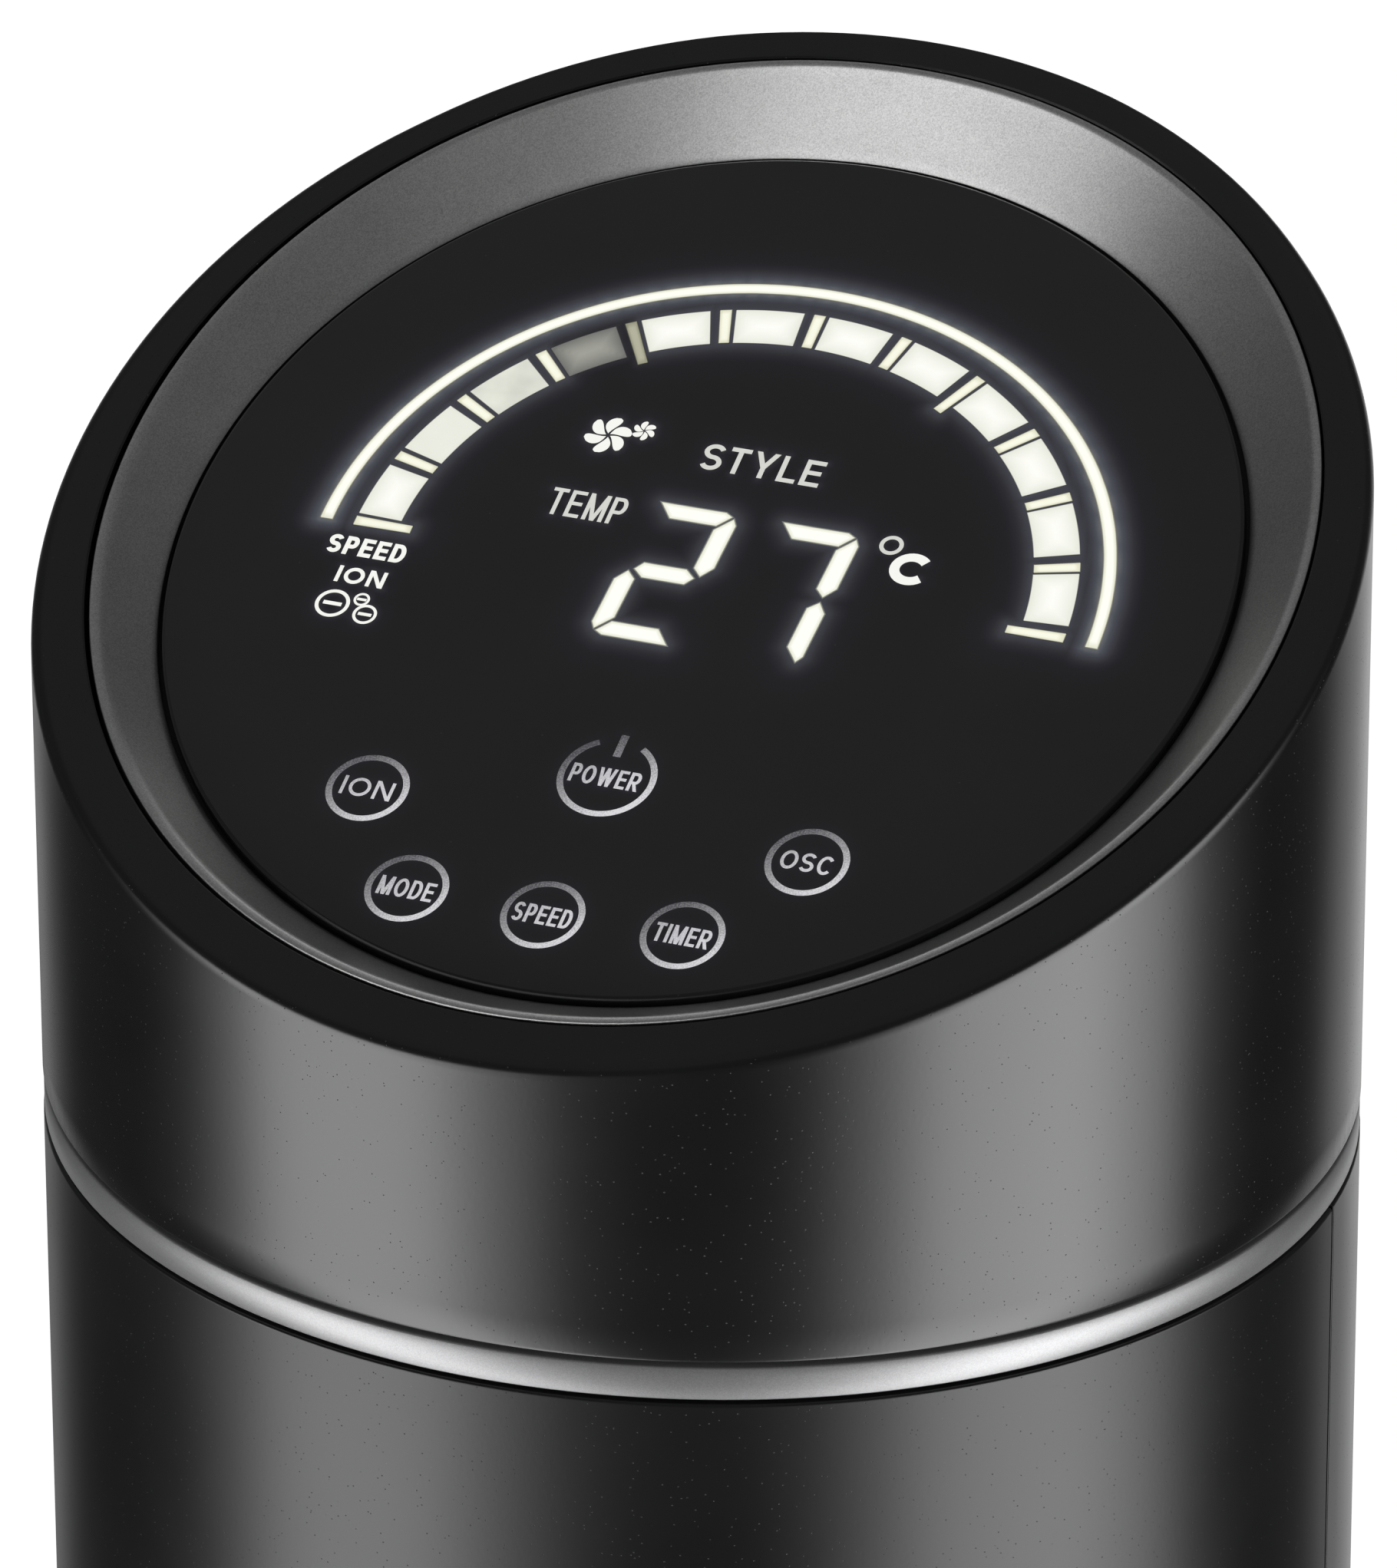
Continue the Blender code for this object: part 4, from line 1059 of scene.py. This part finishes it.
def outlet_grille():
    half = WINDOW_HALF_ANGLE - 0.4
    angles = bars_and_slots(270 - half, 270 + half, OUTLET_SLOTS, 0.36)
    heights = bars_and_slots(WINDOW_BOTTOM + 0.0005, WINDOW_TOP - 0.0005, OUTLET_ROWS, 0.085)

    def is_open(i, j):
        return i % 2 == 1 and j % 2 == 1

    shape = wall_grid(angles, heights, is_open, 0.0008, 0.0038)
    grille = fine("outlet_grille", shape, BODY, "column")
    bevel(grille, 0.00028, 1)


# ----- rotor and base


def blade_outline(turn):
    """A thin curved blade, hollow side forward."""
    sweep = math.radians(11)
    middle = []
    for share in spaced(0.0, 1.0, 5):
        radius = BLADE_INNER + (BLADE_OUTER - BLADE_INNER) * share
        lean = turn + sweep * share**1.6
        middle.append(Vector((radius * math.cos(lean), radius * math.sin(lean))))
    left, right = [], []
    for k, point in enumerate(middle):
        along = (middle[min(k + 1, 5)] - middle[max(k - 1, 0)]).normalized()
        across = Vector((-along.y, along.x)) * BLADE_THICKNESS / 2
        left.append(point + across)
        right.append(point - across)
    return left + right[::-1]


def impeller():
    """Discs, each with a ring of blades that reaches up to the next."""
    edge = IMPELLER_RADIUS - 0.0003
    disc = [(0.0335, 0.0), (edge, 0.0), (IMPELLER_RADIUS, 0.0003), (IMPELLER_RADIUS, 0.0019)]
    disc += [(edge, 0.0022), (0.0335, 0.0022), (0.0300, 0.0016), (0.0005, 0.0016)]
    disc += [(0.0005, 0.0002), (0.0300, 0.0002)]
    for number in range(SECTIONS):
        bottom = IMPELLER_BOTTOM + number * SECTION_PITCH
        points, faces = skin([circle(radius, bottom + z, 96, (0.0, ROTOR_Y)) for radius, z in disc])
        for k in range(BLADES):
            outline = blade_outline(2 * math.pi * (k + 0.35 * number) / BLADES)
            rings = []
            for z in (bottom + 0.0020, bottom + SECTION_PITCH - GAP):
                rings.append([Vector((p.x, p.y + ROTOR_Y, z)) for p in outline])
            more_points, more_faces = skin(rings, tube=False)
            start = len(points)
            points += more_points
            faces += [tuple(start + index for index in face) for face in more_faces]
        fine(f"impeller_section_{number + 1}", (points, faces), MATT, "rotor")


def base_cover():
    """The moulded dome: a rounded shoulder, a gentle slope with a fine groove, and the level plateau."""
    shoulder = 0.0055
    profile = [(BASE_RADIUS, 0.0045), (BASE_RADIUS, 0.0170)]
    profile += arc(BASE_RADIUS - shoulder, 0.0190, shoulder, shoulder, 0, 68, 10)
    profile += [(0.1300, 0.0270), (0.1000, 0.0328), (0.0800, 0.0376), (0.0700, 0.0400)]
    profile += [(0.0690, 0.0397), (0.0680, 0.0403), (0.0640, 0.0416), (0.0600, PLATEAU), (0.0280, PLATEAU)]
    profile += [(0.0280, 0.0398), (0.0600, 0.0398), (0.0990, 0.0303), (0.1410, 0.0230), (0.1473, 0.0180)]
    profile += [(0.1473, 0.0045)]
    shape = skin([circle(radius, z) for radius, z in profile])
    cover = fine("base_cover", shape, SATIN, "base", 40)
    rings = [upright_ring(0.0, y, GLAND_HEIGHT, 0.0047) for y in (0.144, 0.152)]
    carve(cover, *skin(rings, tube=False))


def build_pieces():
    finish_cad_nodes()
    head_cap()
    ring = trim_ring()
    accent_band()
    touch_panel(display() + [(buttons(), 0.27, 0.9)])
    front_shell()
    rear_shell()
    rear_screws()
    outlet_grille()
    impeller()
    base_cover()
    return ring


# ----- studio


def toward(azimuth, elevation):
    """A direction by its turn from straight ahead, anticlockwise from above, and its height."""
    level = math.cos(elevation)
    return Vector((math.sin(azimuth) * level, -math.cos(azimuth) * level, math.sin(elevation)))


def camera():
    back = toward(VIEW_AZIMUTH, VIEW_ELEVATION)
    side = toward(VIEW_AZIMUTH + math.pi / 2, 0.0)
    up = back.cross(side)
    level, tip = math.cos(VIEW_ROLL), math.sin(VIEW_ROLL)
    right = side * level + up * tip
    top = up * level - side * tip
    target = side * VIEW_SIDE + Vector((0, 0, VIEW_HEIGHT))
    data = bpy.data.cameras.new("camera")
    data.lens = LENS
    data.sensor_fit = "HORIZONTAL"
    data.clip_end = 200.0
    obj = show("camera", data)
    turn = Matrix((right, top, back)).transposed().to_4x4()
    obj.matrix_world = Matrix.Translation(target + back * VIEW_DISTANCE) @ turn
    bpy.context.scene.camera = obj


# The light's strength by direction, in degrees from the camera's side and towards its right
AROUND = [
    (-180, 0.10), (-175, 0.14), (-169, 0.42), (-160, 0.52), (-150, 0.22), (-140, 0.06), (-112, 0.06),
    (-99, 0.16), (-89, 1.1), (-76, 5.3), (-52, 6.0), (-38, 2.2), (-26, 0.30), (-12, 0.12), (2, 0.12),
    (12, 0.30), (22, 1.7), (38, 6.2), (62, 7.0), (76, 4.1), (90, 0.36), (104, 0.05), (128, 0.07),
    (144, 0.60), (165, 1.15), (172, 0.90), (177, 0.16), (180, 0.10),
]
BRIGHTEST = 7.0


def world():
    """Two tall side lights, a pale back and a dim ceiling. The camera sees white."""
    made = bpy.data.worlds.new("studio")
    bpy.context.scene.world = made
    made.use_nodes = True
    sky = Nodes(made.node_tree)
    sky.tree.nodes.clear()
    calc = sky.math

    split = sky.add("ShaderNodeSeparateXYZ")
    sky.link(sky.add("ShaderNodeTexCoord").outputs["Generated"], split.inputs["Vector"])
    x, y, z = (split.outputs[axis] for axis in "XYZ")
    ca, sa = math.cos(VIEW_AZIMUTH), math.sin(VIEW_AZIMUTH)
    side = calc("ADD", calc("MULTIPLY", x, ca), calc("MULTIPLY", y, sa))
    near = calc("SUBTRACT", calc("MULTIPLY", x, sa), calc("MULTIPLY", y, ca))
    share = calc("ADD", calc("DIVIDE", calc("ARCTAN2", side, near), 2 * math.pi), 0.5)
    strip = sky.ramp(share, [((a + 180) / 360, v / BRIGHTEST) for a, v in AROUND], "EASE")
    height = calc("ADD", calc("DIVIDE", calc("ARCSINE", z), math.pi), 0.5)
    level = sky.ramp(height, [(0.0, 0.6), (0.25, 1.0), (0.50, 1.0), (0.57, 0.0), (1.0, 0.0)], "EASE")
    lower = calc("MULTIPLY", calc("MULTIPLY", strip, level), BRIGHTEST)
    top = sky.ramp(height, [(0.48, 0.0), (0.56, 0.10), (0.70, 0.14), (0.82, 0.24), (1.0, 0.24)], "EASE")

    light = sky.add("ShaderNodeBackground")
    sky.link(calc("ADD", lower, top), light.inputs["Strength"])
    seen = sky.add("ShaderNodeBackground")
    seen.inputs["Color"].default_value = (1, 1, 1, 1)
    mix = sky.add("ShaderNodeMixShader")
    sky.link(sky.add("ShaderNodeLightPath").outputs["Is Camera Ray"], mix.inputs["Fac"])
    sky.link(light.outputs["Background"], mix.inputs[1])
    sky.link(seen.outputs["Background"], mix.inputs[2])
    sky.link(mix.outputs["Shader"], sky.add("ShaderNodeOutputWorld").inputs["Surface"])


def ring_light(name, ring, azimuth, elevation, spread, strength):
    """A soft distant light that only the metallic ring catches."""
    away = toward(VIEW_AZIMUTH + math.radians(azimuth), math.radians(elevation))
    data = bpy.data.lights.new(name, "SUN")
    data.angle = math.radians(spread)
    data.energy = strength
    obj = show(name, data)
    obj.rotation_euler = away.to_track_quat("Z", "Y").to_euler()
    only = bpy.data.collections.new(name + "_on")
    only.objects.link(ring)
    obj.light_linking.receiver_collection = only


def floor():
    half = 60.0
    mesh = bpy.data.meshes.new("studio_floor")
    corners = [(-half, -half, 0), (half, -half, 0), (half, half, 0), (-half, half, 0)]
    mesh.from_pydata(corners, [], [(0, 1, 2, 3)])
    obj = show("studio_floor", mesh)
    obj.location.z = -0.0002
    paper = Finish("floor_paper", (0.80, 0.80, 0.80), 0.9, specular=0.0)
    paper.set("Emission Color", (1, 1, 1, 1))
    paper.set("Emission Strength", 0.9)
    mesh.materials.append(paper.material)
    obj.visible_glossy = False


ring = build_pieces()
camera()
world()
ring_light("ring_key", ring, -52, 41, 44, 0.76)
ring_light("ring_fill", ring, 178, 15, 60, 0.41)
ring_light("ring_back", ring, -6, 52, 40, 0.045)
ring_light("ring_front", ring, -166, 36, 50, 0.10)
floor()
bpy.context.scene.view_settings.view_transform = "Standard"
